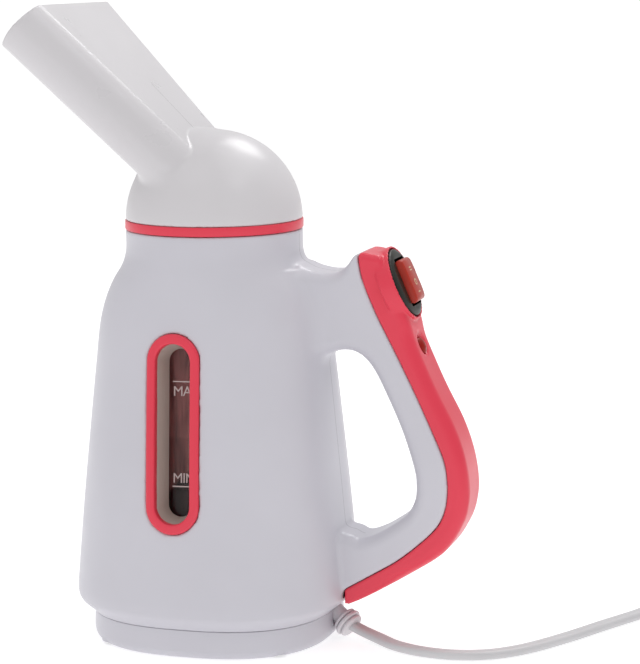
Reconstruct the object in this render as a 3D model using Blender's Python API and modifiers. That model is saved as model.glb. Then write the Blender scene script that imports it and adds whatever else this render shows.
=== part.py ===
"""Handheld garment steamer, with a lift-off steam head, a rocker switch and a coiled mains cord.

Lengths are in millimetres and are turned into metres where a mesh or a curve is made. The origin is
on the body's vertical axis, on the plane that the base rests on. +Z is up, the handle is towards +X,
the nozzle towards -X, and the water window faces -Y.
"""

import math

import bmesh
import bpy
from mathutils import Matrix, Vector

MM = 0.001
GAP = 0.3
SMALL = 0.4

# Body: height, half width along X, half width along Y, and squareness (2 is an ellipse).
BODY_PROFILE = [
    (12.3, 51.2, 49.6, 2.5),
    (14.6, 54.6, 51.9, 2.5),
    (18.5, 57.6, 53.6, 2.5),
    (28.0, 57.2, 53.3, 2.5),
    (60.0, 54.3, 50.4, 2.5),
    (90.0, 51.5, 47.0, 2.45),
    (115.0, 49.1, 43.6, 2.4),
    (131.0, 47.5, 41.5, 2.35),
    (141.0, 45.2, 40.1, 2.3),
    (149.0, 42.0, 38.7, 2.2),
    (155.0, 38.4, 37.3, 2.1),
    (160.0, 36.7, 36.6, 2.0),
    (170.2, 36.5, 36.5, 2.0),
]
BODY_SIDES = 32
BODY_WALL = 2.4
CAP_TOP = 12.0
CAP_HALF_X = 50.8
CAP_HALF_Y = 49.2
CAP_FLOOR = 2.4
NECK_RADIUS = 36.5

# Steam head.
RING_LOW = 170.5
RING_TOP = 174.0
HEAD_LOW = 174.4
HEAD_RADIUS = 36.5
HEAD_WALL = 2.2
DUCT_SLOPE = math.radians(45.0)
DUCT_CENTRE = 131.6
DUCT_HALF_HEIGHT = 11.8
DUCT_MOUTH = 228.0
DUCT_ROOT = 156.0
MOUTH_HALF_WIDTH = 38.0
ROOT_HALF_WIDTH = 25.0
DUCT_BULGE = 7.5
DUCT_WALL = 2.0

# The quarter turn that unscrews the head, and how far the head rises in it.
HEAD_TURN = math.radians(90.0)
HEAD_RISE = 13.0
LUG_HALF_ANGLE = math.radians(10.0)
LUG_HEIGHT = 169.0
SLEEVE_RADIUS = 30.6
PLUG_RADIUS = 30.1
PLUG_LOW = 161.6

# Window in the -Y face: a stadium, tilted with the wall behind it, its top leaning a little towards -X.
WINDOW_X = -3.3
WINDOW_Z = 92.0
WINDOW_Y = -46.6
WINDOW_TILT = math.radians(7.2)
WINDOW_LEAN = math.radians(1.2)
FRAME_WIDTH = 22.4
FRAME_HEIGHT = 80.6
OPENING_WIDTH = 13.6
OPENING_HEIGHT = 72.0
TUNNEL_DEPTH = 10.6

# Handle rails, as (x, z): the finger side, the joint between shell and cover, and the back.
HANDLE_HALF_WIDTH = 13.0
HANDLE_ROUND = 4.5
FINGER_RAIL = [
    (40.0, 122.0), (51.5, 121.4), (57.0, 122.6), (61.8, 122.4), (66.3, 120.0), (70.9, 114.4), (76.7, 102.8),
    (82.1, 91.6), (86.3, 81.6), (88.8, 73.4), (89.4, 68.0), (88.9, 63.0), (87.1, 58.6), (83.9, 54.8),
    (76.5, 50.2), (70.1, 46.5), (64.0, 44.6), (59.0, 46.4), (46.0, 48.0),
]
SHELL_RAIL = [
    (40.0, 155.4), (50.8, 153.4), (57.2, 155.2), (61.8, 159.4), (66.2, 151.2), (71.9, 138.0), (80.1, 122.0),
    (88.4, 105.2), (95.7, 89.2), (99.9, 78.6), (101.2, 69.6), (100.6, 60.8), (97.6, 53.2), (91.1, 46.0),
    (80.7, 37.4), (70.1, 30.8), (62.0, 26.0), (56.6, 22.9), (46.0, 17.5),
]
ARM_STATIONS = 4
COVER_INNER_RAIL = [
    (62.6, 160.0), (64.5, 156.0), (66.8, 150.9), (69.2, 145.2), (72.4, 138.0), (75.9, 131.0), (80.5, 122.1),
    (84.5, 114.1), (88.8, 105.3), (96.1, 89.3), (100.3, 79.0), (101.6, 69.5), (101.0, 60.6), (98.0, 52.8),
    (91.4, 45.6), (80.9, 36.9), (70.3, 30.3), (63.0, 26.0), (58.6, 23.4),
]
COVER_BACK_RAIL = [
    (62.9, 161.6), (65.4, 163.4), (70.4, 164.0), (75.4, 162.4), (80.2, 150.4), (85.4, 138.0), (87.2, 128.3),
    (92.5, 117.6), (98.0, 106.8), (104.6, 93.6), (108.5, 81.2), (110.1, 69.9), (109.1, 61.2), (106.0, 52.4),
    (98.6, 41.0), (84.6, 30.8), (73.2, 23.9), (65.2, 19.5), (59.6, 16.9),
]
HANDLE_WALL = 2.4
COVER_WALL = 2.2
COVER_SCREWS = [((84.2, 86.8), (0.92, 0.39)), ((73.3, 48.3), (0.51, -0.86))]

# Rocker switch: centre of its bezel's face, and the tilt of that face's normal from +Z towards +X.
SWITCH_CENTRE = (80.8, 0.0, 149.8)
SWITCH_TILT = math.radians(67.0)
COLLAR_RADIUS = 15.7
COLLAR_LENGTH = 9.5
BEZEL_RADIUS = 14.5
ROCKER_PIVOT = -1.5
LAMP_CENTRE = (88.9, 0.0, 124.9)
LAMP_TILT = math.radians(62.4)

# Water tank, boiler and heater.
TANK_FLOOR = 41.6
TANK_PROFILE = [
    (41.6, 44.0, 35.0, 2.5),
    (60.0, 43.6, 33.4, 2.5),
    (92.0, 41.4, 29.8, 2.4),
    (128.0, 38.6, 26.0, 2.3),
    (144.0, 34.6, 26.4, 2.2),
    (151.0, 29.6, 29.6, 2.0),
    (155.2, 29.4, 29.4, 2.0),
    (155.5, 33.2, 33.2, 2.0),
    (158.0, 33.2, 33.2, 2.0),
]
TANK_WALL = 1.8
TANK_FLOOR_THICK = 4.0
BOILER_X = 7.0
BOILER_RADIUS = 20.2
HEATER_LOW = 36.0
HEATER_TOP = 39.4
HEATER_LEG = 9.0

# Cord: a flat twin lead, 6.2 mm wide, and its coil.
CORD_WIDTH = 6.2
CORD_EXIT = (50.8, 0.0, 7.8)
CLAMP_X = 27.0
CORD_YAW = math.radians(-20.0)
CORD_DIP = math.radians(14.0)
CORD_ROUTE = [
    (64.2, -4.9, 4.3), (66.0, -5.5, 3.8), (71.5, -8.4, 3.3), (80.5, -14.8, 3.1), (92.0, -19.9, 3.1),
    (106.0, -21.3, 3.1), (120.5, -16.6, 3.1), (133.0, -5.0, 3.1), (145.5, 14.0, 3.1), (157.0, 35.0, 3.1),
    (166.4, 51.5, 3.1), (170.3, 58.9, 3.1), (173.1, 65.6, 3.1),
]
COIL_CENTRE = (219.5, 72.0)
COIL_INNER = 25.0
COIL_OUTER = 44.0
COIL_LOW = 1.6
COIL_TOP = 14.8
COIL_MIDDLE_TURN = 28.2
PLUG_HEIGHT = 22.4

COLOURS = {
    "white_plastic": ((0.80, 0.79, 0.81), 0.34, 0.0),
    "pink_plastic": ((0.78, 0.10, 0.16), 0.32, 0.0),
    "grey_plastic": ((0.45, 0.43, 0.41), 0.50, 0.0),
    "black_plastic": ((0.035, 0.035, 0.03), 0.35, 0.0),
    "red_plastic": ((0.45, 0.05, 0.04), 0.30, 0.0),
    "lamp_plastic": ((0.30, 0.02, 0.02), 0.20, 0.0),
    "clear_plastic": ((0.30, 0.22, 0.22), 0.10, 0.0),
    "silicone": ((0.55, 0.16, 0.12), 0.60, 0.0),
    "cord_vinyl": ((0.70, 0.70, 0.71), 0.55, 0.0),
    "steel": ((0.62, 0.62, 0.64), 0.30, 1.0),
    "brass": ((0.72, 0.55, 0.25), 0.30, 1.0),
    "aluminium": ((0.66, 0.67, 0.68), 0.42, 1.0),
    "glass": ((0.75, 0.55, 0.45), 0.05, 0.0),
}


def start_scene():
    """Clears the scene and returns the collections for the parts and for the cutters."""
    for old in list(bpy.data.objects):
        bpy.data.objects.remove(old)
    parts = bpy.data.collections.new("garment_steamer")
    cutters = bpy.data.collections.new("cutters")
    for group in (parts, cutters):
        bpy.context.scene.collection.children.link(group)
    return parts, cutters


PARTS, CUTTERS = start_scene()


def finish_of(name):
    """The material of that name, made the first time that it is asked for."""
    found = bpy.data.materials.get(name)
    if found:
        return found
    colour, roughness, metallic = COLOURS[name]
    made = bpy.data.materials.new(name)
    made.use_nodes = True
    shader = made.node_tree.nodes["Principled BSDF"]
    shader.inputs["Base Color"].default_value = (*colour, 1.0)
    shader.inputs["Roughness"].default_value = roughness
    shader.inputs["Metallic"].default_value = metallic
    return made


def place(obj, finish):
    """Puts an object among the parts with its finish or, with no finish, among the cutters."""
    for group in list(obj.users_collection):
        group.objects.unlink(obj)
    if finish is None:
        CUTTERS.objects.link(obj)
        obj.hide_render = True
        obj.display_type = "WIRE"
    else:
        PARTS.objects.link(obj)
        obj.data.materials.clear()
        obj.data.materials.append(finish_of(finish))
    return obj


def solid_from(name, bm, finish):
    """An object from a bmesh whose faces are turned to point outwards."""
    bmesh.ops.recalc_face_normals(bm, faces=bm.faces[:])
    mesh = bpy.data.meshes.new(name)
    bm.to_mesh(mesh)
    bm.free()
    mesh.shade_smooth()
    mesh.set_sharp_from_angle(angle=math.radians(35.0))
    return place(bpy.data.objects.new(name, mesh), finish)


def loft(name, rings, finish=None, cyclic=False):
    """A solid through rings of equally many points, capped at its ends or, when cyclic, joined end to end."""
    bm = bmesh.new()
    loops = [[bm.verts.new(Vector(p) * MM) for p in ring] for ring in rings]
    pairs = list(zip(loops, loops[1:]))
    if cyclic:
        pairs.append((loops[-1], loops[0]))
    else:
        bm.faces.new(loops[0])
        bm.faces.new(loops[-1])
    for first, second in pairs:
        for i in range(len(first)):
            j = (i + 1) % len(first)
            bm.faces.new((first[i], first[j], second[j], second[i]))
    return solid_from(name, bm, finish)


def turned(name, profile, finish=None, steps=32, matrix=None):
    """A turned solid. The profile's (radius, height) pairs run down its outer side. It closes on itself
    unless it starts and ends on the axis."""
    mesh = bpy.data.meshes.new(name)
    points = [(r * MM, 0.0, z * MM) for r, z in profile]
    edges = [(i, i + 1) for i in range(len(points) - 1)]
    if profile[0][0] > 0:
        edges.append((len(points) - 1, 0))
    mesh.from_pydata(points, edges, [])
    obj = place(bpy.data.objects.new(name, mesh), finish)
    screw = obj.modifiers.new("Turn", "SCREW")
    screw.steps = steps
    screw.render_steps = steps
    screw.use_merge_vertices = True
    screw.merge_threshold = 0.00001
    screw.use_smooth_shade = True
    if matrix is not None:
        obj.matrix_world = matrix
    return obj


def cylinder(name, radius, low, high, finish=None, matrix=None, sides=20):
    """A round bar from low to high along its own Z."""
    bpy.ops.mesh.primitive_cylinder_add(vertices=sides, radius=radius * MM, depth=(high - low) * MM)
    obj = bpy.context.active_object
    obj.name = name
    obj.data.transform(Matrix.Translation((0.0, 0.0, (low + high) / 2 * MM)))
    obj.data.shade_smooth()
    obj.data.set_sharp_from_angle(angle=math.radians(40.0))
    if matrix is not None:
        obj.matrix_world = matrix
    return place(obj, finish)


def box(name, size, centre, finish=None, matrix=None, bevel=0.0):
    """A box of that size about a centre, with its edges rounded by bevel."""
    bpy.ops.mesh.primitive_cube_add(size=1.0)
    obj = bpy.context.active_object
    obj.name = name
    scale = Matrix.Diagonal((size[0] * MM, size[1] * MM, size[2] * MM, 1.0))
    obj.data.transform(Matrix.Translation(Vector(centre) * MM) @ scale)
    if matrix is not None:
        obj.matrix_world = matrix
    if bevel:
        rounding = obj.modifiers.new("Edges", "BEVEL")
        rounding.width = bevel * MM
        rounding.segments = 2
    return place(obj, finish)


def tube(name, points, radius, finish, resolution=2):
    """A round wire along the points."""
    curve = bpy.data.curves.new(name, "CURVE")
    curve.dimensions = "3D"
    curve.bevel_depth = radius * MM
    curve.bevel_resolution = resolution
    curve.use_fill_caps = True
    spline = curve.splines.new("POLY")
    spline.points.add(len(points) - 1)
    for spot, point in zip(spline.points, points):
        spot.co = (*(Vector(point) * MM), 1.0)
    return place(bpy.data.objects.new(name, curve), finish)


def boolean(obj, other, operation):
    """Adds a Boolean modifier to obj and returns obj."""
    modifier = obj.modifiers.new(operation.title(), "BOOLEAN")
    modifier.operation = operation
    modifier.object = other
    return obj


def cut(obj, *cutters):
    """Takes the cutters away from obj."""
    for cutter in cutters:
        boolean(obj, cutter, "DIFFERENCE")
    return obj


def join(obj, *others):
    """Adds the other shapes to obj."""
    for other in others:
        boolean(obj, other, "UNION")
    return obj


def smooth(points, steps):
    """Points along a Catmull-Rom curve through the given ones, with so many steps to each span."""
    spots = [Vector(p) for p in points]
    ends = [2 * spots[0] - spots[1], *spots, 2 * spots[-1] - spots[-2]]
    line = []
    for a, b, c, d in zip(ends, ends[1:], ends[2:], ends[3:]):
        for i in range(steps):
            t = i / steps
            bend = (2 * a - 5 * b + 4 * c - d) * t**2 + (3 * b - a - 3 * c + d) * t**3
            line.append(0.5 * (2 * b + (c - a) * t + bend))
    return line + [spots[-1]]


def oval(z, half_x, half_y, power, sides=BODY_SIDES):
    """A level ring on a superellipse."""
    ring = []
    for i in range(sides):
        angle = 2 * math.pi * i / sides
        c, s = math.cos(angle), math.sin(angle)
        x = half_x * math.copysign(abs(c) ** (2 / power), c)
        y = half_y * math.copysign(abs(s) ** (2 / power), s)
        ring.append((x, y, z))
    return ring


def turned_to(centre, tilt):
    """The place of a piece whose own Z is tilted from +Z towards +X."""
    return Matrix.Translation(Vector(centre) * MM) @ Matrix.Rotation(tilt, 4, "Y")


def along(centre, direction):
    """The place of a piece whose own Z lies along a direction."""
    turn = Vector(direction).to_track_quat("Z", "Y").to_matrix().to_4x4()
    return Matrix.Translation(Vector(centre) * MM) @ turn


def at(x, y):
    """The place of an upright piece."""
    return Matrix.Translation((x * MM, y * MM, 0.0))


def handle_section(inner, outer, half_width, inner_round, outer_round):
    """A ring across the handle between a point on its finger side and one on its back."""
    inner, outer = Vector(inner), Vector(outer)
    across = (outer - inner).normalized()
    length = (outer - inner).length
    ring = []
    for depth, radius, side in ((0.0, inner_round, 1), (length, outer_round, -1)):
        for turn in (1, -1):
            sign = turn * side
            for i in range(4):
                angle = math.pi / 6 * (i if turn == 1 else 3 - i)
                level = radius * (1 - math.sin(angle))
                y = half_width - radius * (1 - math.cos(angle))
                spot = inner + across * (depth + level * side)
                ring.append((spot.x, -sign * y, spot.y))
    return ring


def handle_solid(name, inner_rail, outer_rail, half_width, inner_round, outer_rounds, finish=None):
    """A bar between two rails. Its outer edges have a radius of their own at each station."""
    rings = [
        handle_section(a, b, half_width, inner_round, r)
        for a, b, r in zip(inner_rail, outer_rail, outer_rounds)
    ]
    return loft(name, rings, finish)


def offset_rail(rail, distance):
    """A rail moved sideways by a distance, to the left of its own direction."""
    moved = []
    for i, point in enumerate(rail):
        before, after = Vector(rail[max(i - 1, 0)]), Vector(rail[min(i + 1, len(rail) - 1)])
        way = (after - before).normalized()
        moved.append((point[0] - way.y * distance, point[1] + way.x * distance))
    return moved


def window_ring(width, height, depth, sides=8):
    """A stadium parallel to the window's face, at a depth that is positive outwards."""
    tilt = WINDOW_TILT
    rise = Vector((0.0, math.sin(tilt), math.cos(tilt)))
    out = Vector((0.0, -math.cos(tilt), math.sin(tilt)))
    side = Vector((1.0, 0.0, 0.0))
    up = rise * math.cos(WINDOW_LEAN) - side * math.sin(WINDOW_LEAN)
    across = side * math.cos(WINDOW_LEAN) + rise * math.sin(WINDOW_LEAN)
    middle = Vector((WINDOW_X, WINDOW_Y, WINDOW_Z)) + out * depth
    radius = width / 2
    ring = []
    for end in (1, -1):
        for i in range(sides + 1):
            angle = math.pi * i / sides + (0 if end == 1 else math.pi)
            level = end * (height / 2 - radius) + radius * math.sin(angle)
            ring.append(middle + across * (radius * math.cos(angle)) + up * level)
    return ring


def helical_band(name, inner, outer, half_height, start, stop, finish=None, steps=12):
    """A ribbed lug or slot that climbs with the head's thread, between two angles from its middle."""
    rings = []
    for i in range(steps + 1):
        angle = start + (stop - start) * i / steps
        middle = LUG_HEIGHT + HEAD_RISE * angle / HEAD_TURN
        c, s = math.cos(angle), math.sin(angle)
        corners = [(inner, -half_height), (outer, -half_height), (outer, half_height), (inner, half_height)]
        rings.append([(r * c, r * s, middle + z) for r, z in corners])
    return loft(name, rings, finish)


def make_body_shell():
    """One moulding: the body, its neck, and the finger side of the handle with both of its arms."""
    shell = loft("body_shell", [oval(*level) for level in BODY_PROFILE], "white_plastic")
    rounds = [HANDLE_ROUND] * (ARM_STATIONS - 1) + [2.0] + [SMALL] * (len(SHELL_RAIL) - ARM_STATIONS)
    handle = handle_solid("handle_bar", FINGER_RAIL, SHELL_RAIL, HANDLE_HALF_WIDTH, HANDLE_ROUND, rounds)
    join(shell, handle)
    inside = [(z, x - BODY_WALL, y - BODY_WALL, n) for z, x, y, n in BODY_PROFILE]
    floor = [(10.0, *inside[0][1:])]
    top = [(175.0, NECK_RADIUS - BODY_WALL, NECK_RADIUS - BODY_WALL, 2.0)]
    cavity = loft("body_cavity", [oval(*level) for level in floor + inside + top])
    cut(shell, cavity)
    for x, y in screw_places():
        join(shell, cylinder("screw_boss", 4.4, 12.3, 27.0, matrix=at(x, y), sides=12))
        cut(shell, cylinder("screw_pilot", 1.7, 10.0, 24.5, matrix=at(x, y), sides=8))
    channel_inner = offset_rail(FINGER_RAIL, HANDLE_WALL)
    channel_outer = offset_rail(SHELL_RAIL, 6.0)
    channel_outer[:ARM_STATIONS] = offset_rail(SHELL_RAIL[:ARM_STATIONS], -HANDLE_WALL - 0.2)
    channel_outer[-2:] = [(54.0, 25.6), (44.0, 22.0)]
    channel = handle_solid(
        "handle_channel",
        channel_inner,
        channel_outer,
        HANDLE_HALF_WIDTH - HANDLE_WALL,
        HANDLE_ROUND - HANDLE_WALL,
        [SMALL] * len(channel_outer),
    )
    cut(shell, channel)
    for (x, z), (dx, dz) in COVER_SCREWS:
        where = along((x, 0.0, z), (dx, 0.0, dz))
        join(shell, cylinder("cover_boss", 4.8, 1.0, 6.0, matrix=where, sides=16))
        cut(shell, cylinder("cover_screw_seat", 3.3, -3.0, 2.6, matrix=where, sides=16))
        cut(shell, cylinder("cover_screw_way", 1.8, -3.0, 9.0, matrix=where, sides=12))
    window = loft("window_hole", [window_ring(FRAME_WIDTH + 0.7, FRAME_HEIGHT + 0.7, d) for d in (6.0, -9.0)])
    cut(shell, window)


def screw_places():
    """Where the four base screws stand."""
    return [(sx * 35.5, sy * 33.5) for sx in (1, -1) for sy in (1, -1)]


def base_screw_profile(head_low):
    """A pan screw, point up, with its head's underside lowest."""
    return [
        (0.0, head_low + 16.6),
        (0.9, head_low + 15.6),
        (1.35, head_low + 14.2),
        (1.35, head_low + 2.2),
        (3.0, head_low + 2.2),
        (3.0, head_low + 0.5),
        (2.4, head_low),
        (1.0, head_low),
        (1.0, head_low + 1.2),
        (0.0, head_low + 1.2),
    ]


def make_base():
    """The base cap that the steamer stands on, with the cord clamp's posts, and its four screws."""
    outside = [
        (0.0, CAP_HALF_X - 1.2, CAP_HALF_Y - 1.2, 2.5),
        (1.0, CAP_HALF_X - 0.2, CAP_HALF_Y - 0.2, 2.5),
        (3.0, CAP_HALF_X, CAP_HALF_Y, 2.5),
        (CAP_TOP, CAP_HALF_X, CAP_HALF_Y, 2.5),
    ]
    cap = loft("base_cap", [oval(*level) for level in outside], "white_plastic")
    inside = [(z, CAP_HALF_X - 2.2, CAP_HALF_Y - 2.2, 2.5) for z in (CAP_FLOOR, CAP_TOP + 2)]
    cut(cap, loft("cap_cavity", [oval(*level) for level in inside]))
    for x, y in screw_places():
        join(cap, cylinder("cap_column", 4.8, 1.2, CAP_TOP - 0.1, matrix=at(x, y), sides=16))
    for x, y in screw_places():
        cut(cap, cylinder("cap_seat", 3.5, -1.0, 7.6, matrix=at(x, y), sides=16))
        cut(cap, cylinder("cap_way", 1.75, -1.0, CAP_TOP + 1, matrix=at(x, y), sides=12))
    for y in (-8.5, 8.5):
        join(cap, cylinder("clamp_post", 3.2, 1.2, 8.8, matrix=at(CLAMP_X, y), sides=12))
        cut(cap, cylinder("clamp_pilot", 1.5, 3.6, 10.0, matrix=at(CLAMP_X, y), sides=10))
    exit_way = along(CORD_EXIT, cord_direction())
    cut(cap, cylinder("gland_hole", 4.2, -6.0, 6.0, matrix=exit_way, sides=16))
    cut(cap, box("gland_slot", (4.0, 8.4, 8.0), (50.0, 0.0, 12.0)))
    for index, (x, y) in enumerate(screw_places(), 1):
        turned(f"base_screw_{index}", base_screw_profile(5.1), "steel", 8, at(x, y))


def cord_direction():
    """The way in which the cord leaves the base."""
    level = math.cos(CORD_DIP)
    return (level * math.cos(CORD_YAW), level * math.sin(CORD_YAW), -math.sin(CORD_DIP))


def make_neck_ring():
    """The coloured ring on the neck, whose sleeve holds two helical slots for the head's lugs."""
    profile = [
        (36.7, RING_TOP),
        (36.7, RING_LOW),
        (33.6, RING_LOW),
        (33.6, 160.6),
        (SLEEVE_RADIUS, 160.6),
        (SLEEVE_RADIUS, RING_TOP),
    ]
    ring = turned("neck_ring", profile, "pink_plastic", 40)
    for half in (0, 1):
        slot = helical_band(
            "lug_slot", 30.0, 32.8, 1.7, -LUG_HALF_ANGLE - math.radians(1.6), math.radians(64.0), steps=14
        )
        slot.matrix_world = Matrix.Rotation(math.pi * half, 4, "Z")
        cut(ring, slot)
    turned(
        "neck_seal",
        [(32.8, 160.2), (32.8, 158.3), (28.0, 158.3), (28.0, 160.2)],
        "silicone",
        32,
    )


def duct_ring(s, half_width, half_height, bulge):
    """A ring across the nozzle's duct at a distance along its slope, with round sides."""
    way = Vector((-math.cos(DUCT_SLOPE), 0.0, math.sin(DUCT_SLOPE)))
    over = Vector((math.sin(DUCT_SLOPE), 0.0, math.cos(DUCT_SLOPE)))
    radius = (half_height**2 + bulge**2) / (2 * bulge)
    spread = math.asin(min(1.0, half_height / radius))
    ring = []
    for side in (1, -1):
        for i in range(7):
            angle = spread * (1 - i / 3) * side
            y = side * (half_width + bulge - radius + radius * math.cos(angle))
            ring.append(way * s + over * (DUCT_CENTRE + radius * math.sin(angle)) + Vector((0.0, y, 0.0)))
    return ring


def duct_width(s):
    """Half the width of the duct's flat top at a distance along its slope."""
    share = (s - DUCT_ROOT) / (DUCT_MOUTH - DUCT_ROOT)
    return ROOT_HALF_WIDTH + share * (MOUTH_HALF_WIDTH - ROOT_HALF_WIDTH)


def dome_profile(radius, low):
    """A dome's profile from its crown down to a flat underside."""
    arc = [math.pi / 2 * (1 - i / 9) for i in range(10)]
    points = [(radius * math.cos(a), HEAD_LOW + radius * math.sin(a)) for a in arc]
    points[0] = (0.0, HEAD_LOW + radius)
    return points + [(radius, low), (0.0, low)]


def hood_ring(x, half_width, top):
    """A ring across the hood that stands over the duct's root."""
    low, radius = 186.0, 3.0
    ring = [(x, half_width, low)]
    for i in range(4):
        angle = math.pi / 6 * i
        ring.append((x, half_width - radius * (1 - math.cos(angle)), top - radius * (1 - math.sin(angle))))
    return ring + [(x, -y, z) for _, y, z in reversed(ring)]


def make_steam_head():
    """The nozzle's one-piece shell: a dome, a flat flared duct, and a hood between them."""
    shell = turned("nozzle_head", dome_profile(HEAD_RADIUS, HEAD_LOW), "white_plastic", 32)
    stations = (134.0, DUCT_ROOT, 192.0, DUCT_MOUTH)
    duct = loft("duct", [duct_ring(s, duct_width(s), DUCT_HALF_HEIGHT, DUCT_BULGE) for s in stations])
    hood_rows = (
        (-2.8, 20.2, 211.3),
        (3.0, 19.6, 210.9),
        (9.0, 17.4, 209.3),
        (14.0, 12.4, 207.0),
        (18.5, 7.0, 204.2),
    )
    join(shell, duct, loft("hood", [hood_ring(*row) for row in hood_rows]))
    inner_stations = (140.0, DUCT_ROOT, 192.0, DUCT_MOUTH + 2.0)
    passage = loft(
        "duct_passage",
        [
            duct_ring(s, duct_width(s) - 0.6, DUCT_HALF_HEIGHT - DUCT_WALL, DUCT_BULGE - 0.9)
            for s in inner_stations
        ],
    )
    dome_inside = turned("dome_cavity", dome_profile(HEAD_RADIUS - HEAD_WALL, HEAD_LOW - 4.0), steps=24)
    cut(shell, dome_inside, passage)
    grille = loft(
        "nozzle_grille",
        [
            duct_ring(s, duct_width(s) - 1.1, DUCT_HALF_HEIGHT - DUCT_WALL - SMALL, DUCT_BULGE - 1.1)
            for s in (221.0, 223.0)
        ],
        "white_plastic",
    )
    way = Matrix.Rotation(-DUCT_SLOPE, 4, "Y")
    for i in range(7):
        y = (i - 3) * 10.0
        cut(grille, box("steam_slot", (12.0, 5.6, 8.0), (DUCT_CENTRE, y, 222.0), matrix=way))


def make_head_plug():
    """The plug under the dome that screws into the neck ring, with its lugs, its seal and its baffle."""
    plug = turned(
        "head_plug",
        [
            (6.6, 184.0),
            (6.6, 178.0),
            (33.0, 178.0),
            (33.0, HEAD_LOW + 0.1),
            (PLUG_RADIUS, HEAD_LOW + 0.1),
            (PLUG_RADIUS, 166.2),
            (28.2, 166.2),
            (28.2, 163.2),
            (PLUG_RADIUS, 163.2),
            (PLUG_RADIUS, PLUG_LOW),
            (25.8, PLUG_LOW),
            (25.8, 175.6),
            (4.6, 175.6),
            (4.6, 184.0),
        ],
        "white_plastic",
        32,
    )
    for half in (0, 1):
        lug = helical_band("lug", 29.4, 32.3, 1.2, -LUG_HALF_ANGLE, LUG_HALF_ANGLE, steps=3)
        lug.matrix_world = Matrix.Rotation(math.pi * half, 4, "Z")
        join(plug, lug)
    ring = [(29.3 + 0.95 * math.cos(a), 164.7 + 0.95 * math.sin(a)) for a in circle_angles(6)]
    turned("head_seal", ring, "silicone", 24)
    baffle = cylinder("steam_baffle", 12.0, 169.6, 171.0, "white_plastic", sides=24)
    for i in range(3):
        angle = 2 * math.pi * i / 3
        place = at(9.6 * math.cos(angle), 9.6 * math.sin(angle))
        leg = cylinder("baffle_leg", 1.3, 170.4, 175.3, matrix=place, sides=8)
        join(baffle, leg)


def circle_angles(count):
    """Angles round a circle, turning so that a closed profile runs down its outer side."""
    return [math.pi / 2 - 2 * math.pi * i / count for i in range(count)]


def make_window():
    """The stadium frame in the body's side, the tunnel behind it and the pane at the tunnel's end."""
    frame = [
        window_ring(FRAME_WIDTH, FRAME_HEIGHT, -3.2),
        window_ring(FRAME_WIDTH, FRAME_HEIGHT, 0.6),
        window_ring(FRAME_WIDTH - 1.6, FRAME_HEIGHT - 1.6, 1.4),
        window_ring(OPENING_WIDTH + 1.2, OPENING_HEIGHT + 1.2, 1.4),
        window_ring(OPENING_WIDTH, OPENING_HEIGHT, 0.6),
        window_ring(OPENING_WIDTH, OPENING_HEIGHT, -3.2),
    ]
    loft("window_frame", frame, "pink_plastic", cyclic=True)
    outer, inner = (OPENING_WIDTH + 3.4, OPENING_HEIGHT + 3.4), (OPENING_WIDTH, OPENING_HEIGHT)
    back = -3.5 - (TUNNEL_DEPTH - 3.2)
    tunnel = [
        window_ring(*outer, back),
        window_ring(*outer, -3.5),
        window_ring(*inner, -3.5),
        window_ring(*inner, back),
    ]
    loft("window_tunnel", tunnel, "grey_plastic", cyclic=True)
    pane = [window_ring(*outer, back - GAP - 1.8), window_ring(*outer, back - GAP)]
    loft("window_pane", pane, "clear_plastic")


def make_tank():
    """The water tank, open at its neck, with a hole in its floor for the boiler."""
    tank = loft("water_tank", [oval(*level, 28) for level in TANK_PROFILE], "clear_plastic")
    inside = [(z, x - TANK_WALL, y - TANK_WALL, n) for z, x, y, n in TANK_PROFILE[1:-2]]
    floor = TANK_PROFILE[0]
    inside.insert(0, (TANK_FLOOR + TANK_FLOOR_THICK, floor[1] - TANK_WALL, floor[2] - TANK_WALL, floor[3]))
    inside.append((160.0, 27.6, 27.6, 2.0))
    cut(tank, loft("tank_cavity", [oval(*level, 28) for level in inside]))
    cut(tank, cylinder("boiler_hole", BOILER_RADIUS + 0.6, 39.0, 48.0, matrix=at(BOILER_X, 0.0), sides=32))
    for x, y in heater_screw_places():
        cut(tank, cylinder("heater_pilot", 1.7, 40.0, 44.8, matrix=at(x, y), sides=10))


def heater_screw_places():
    """Where the three screws hold the heater plate under the tank."""
    angles = [math.radians(60.0 + 120.0 * i) for i in range(3)]
    return [(BOILER_X + 28.6 * math.cos(a), 28.6 * math.sin(a)) for a in angles]


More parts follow.
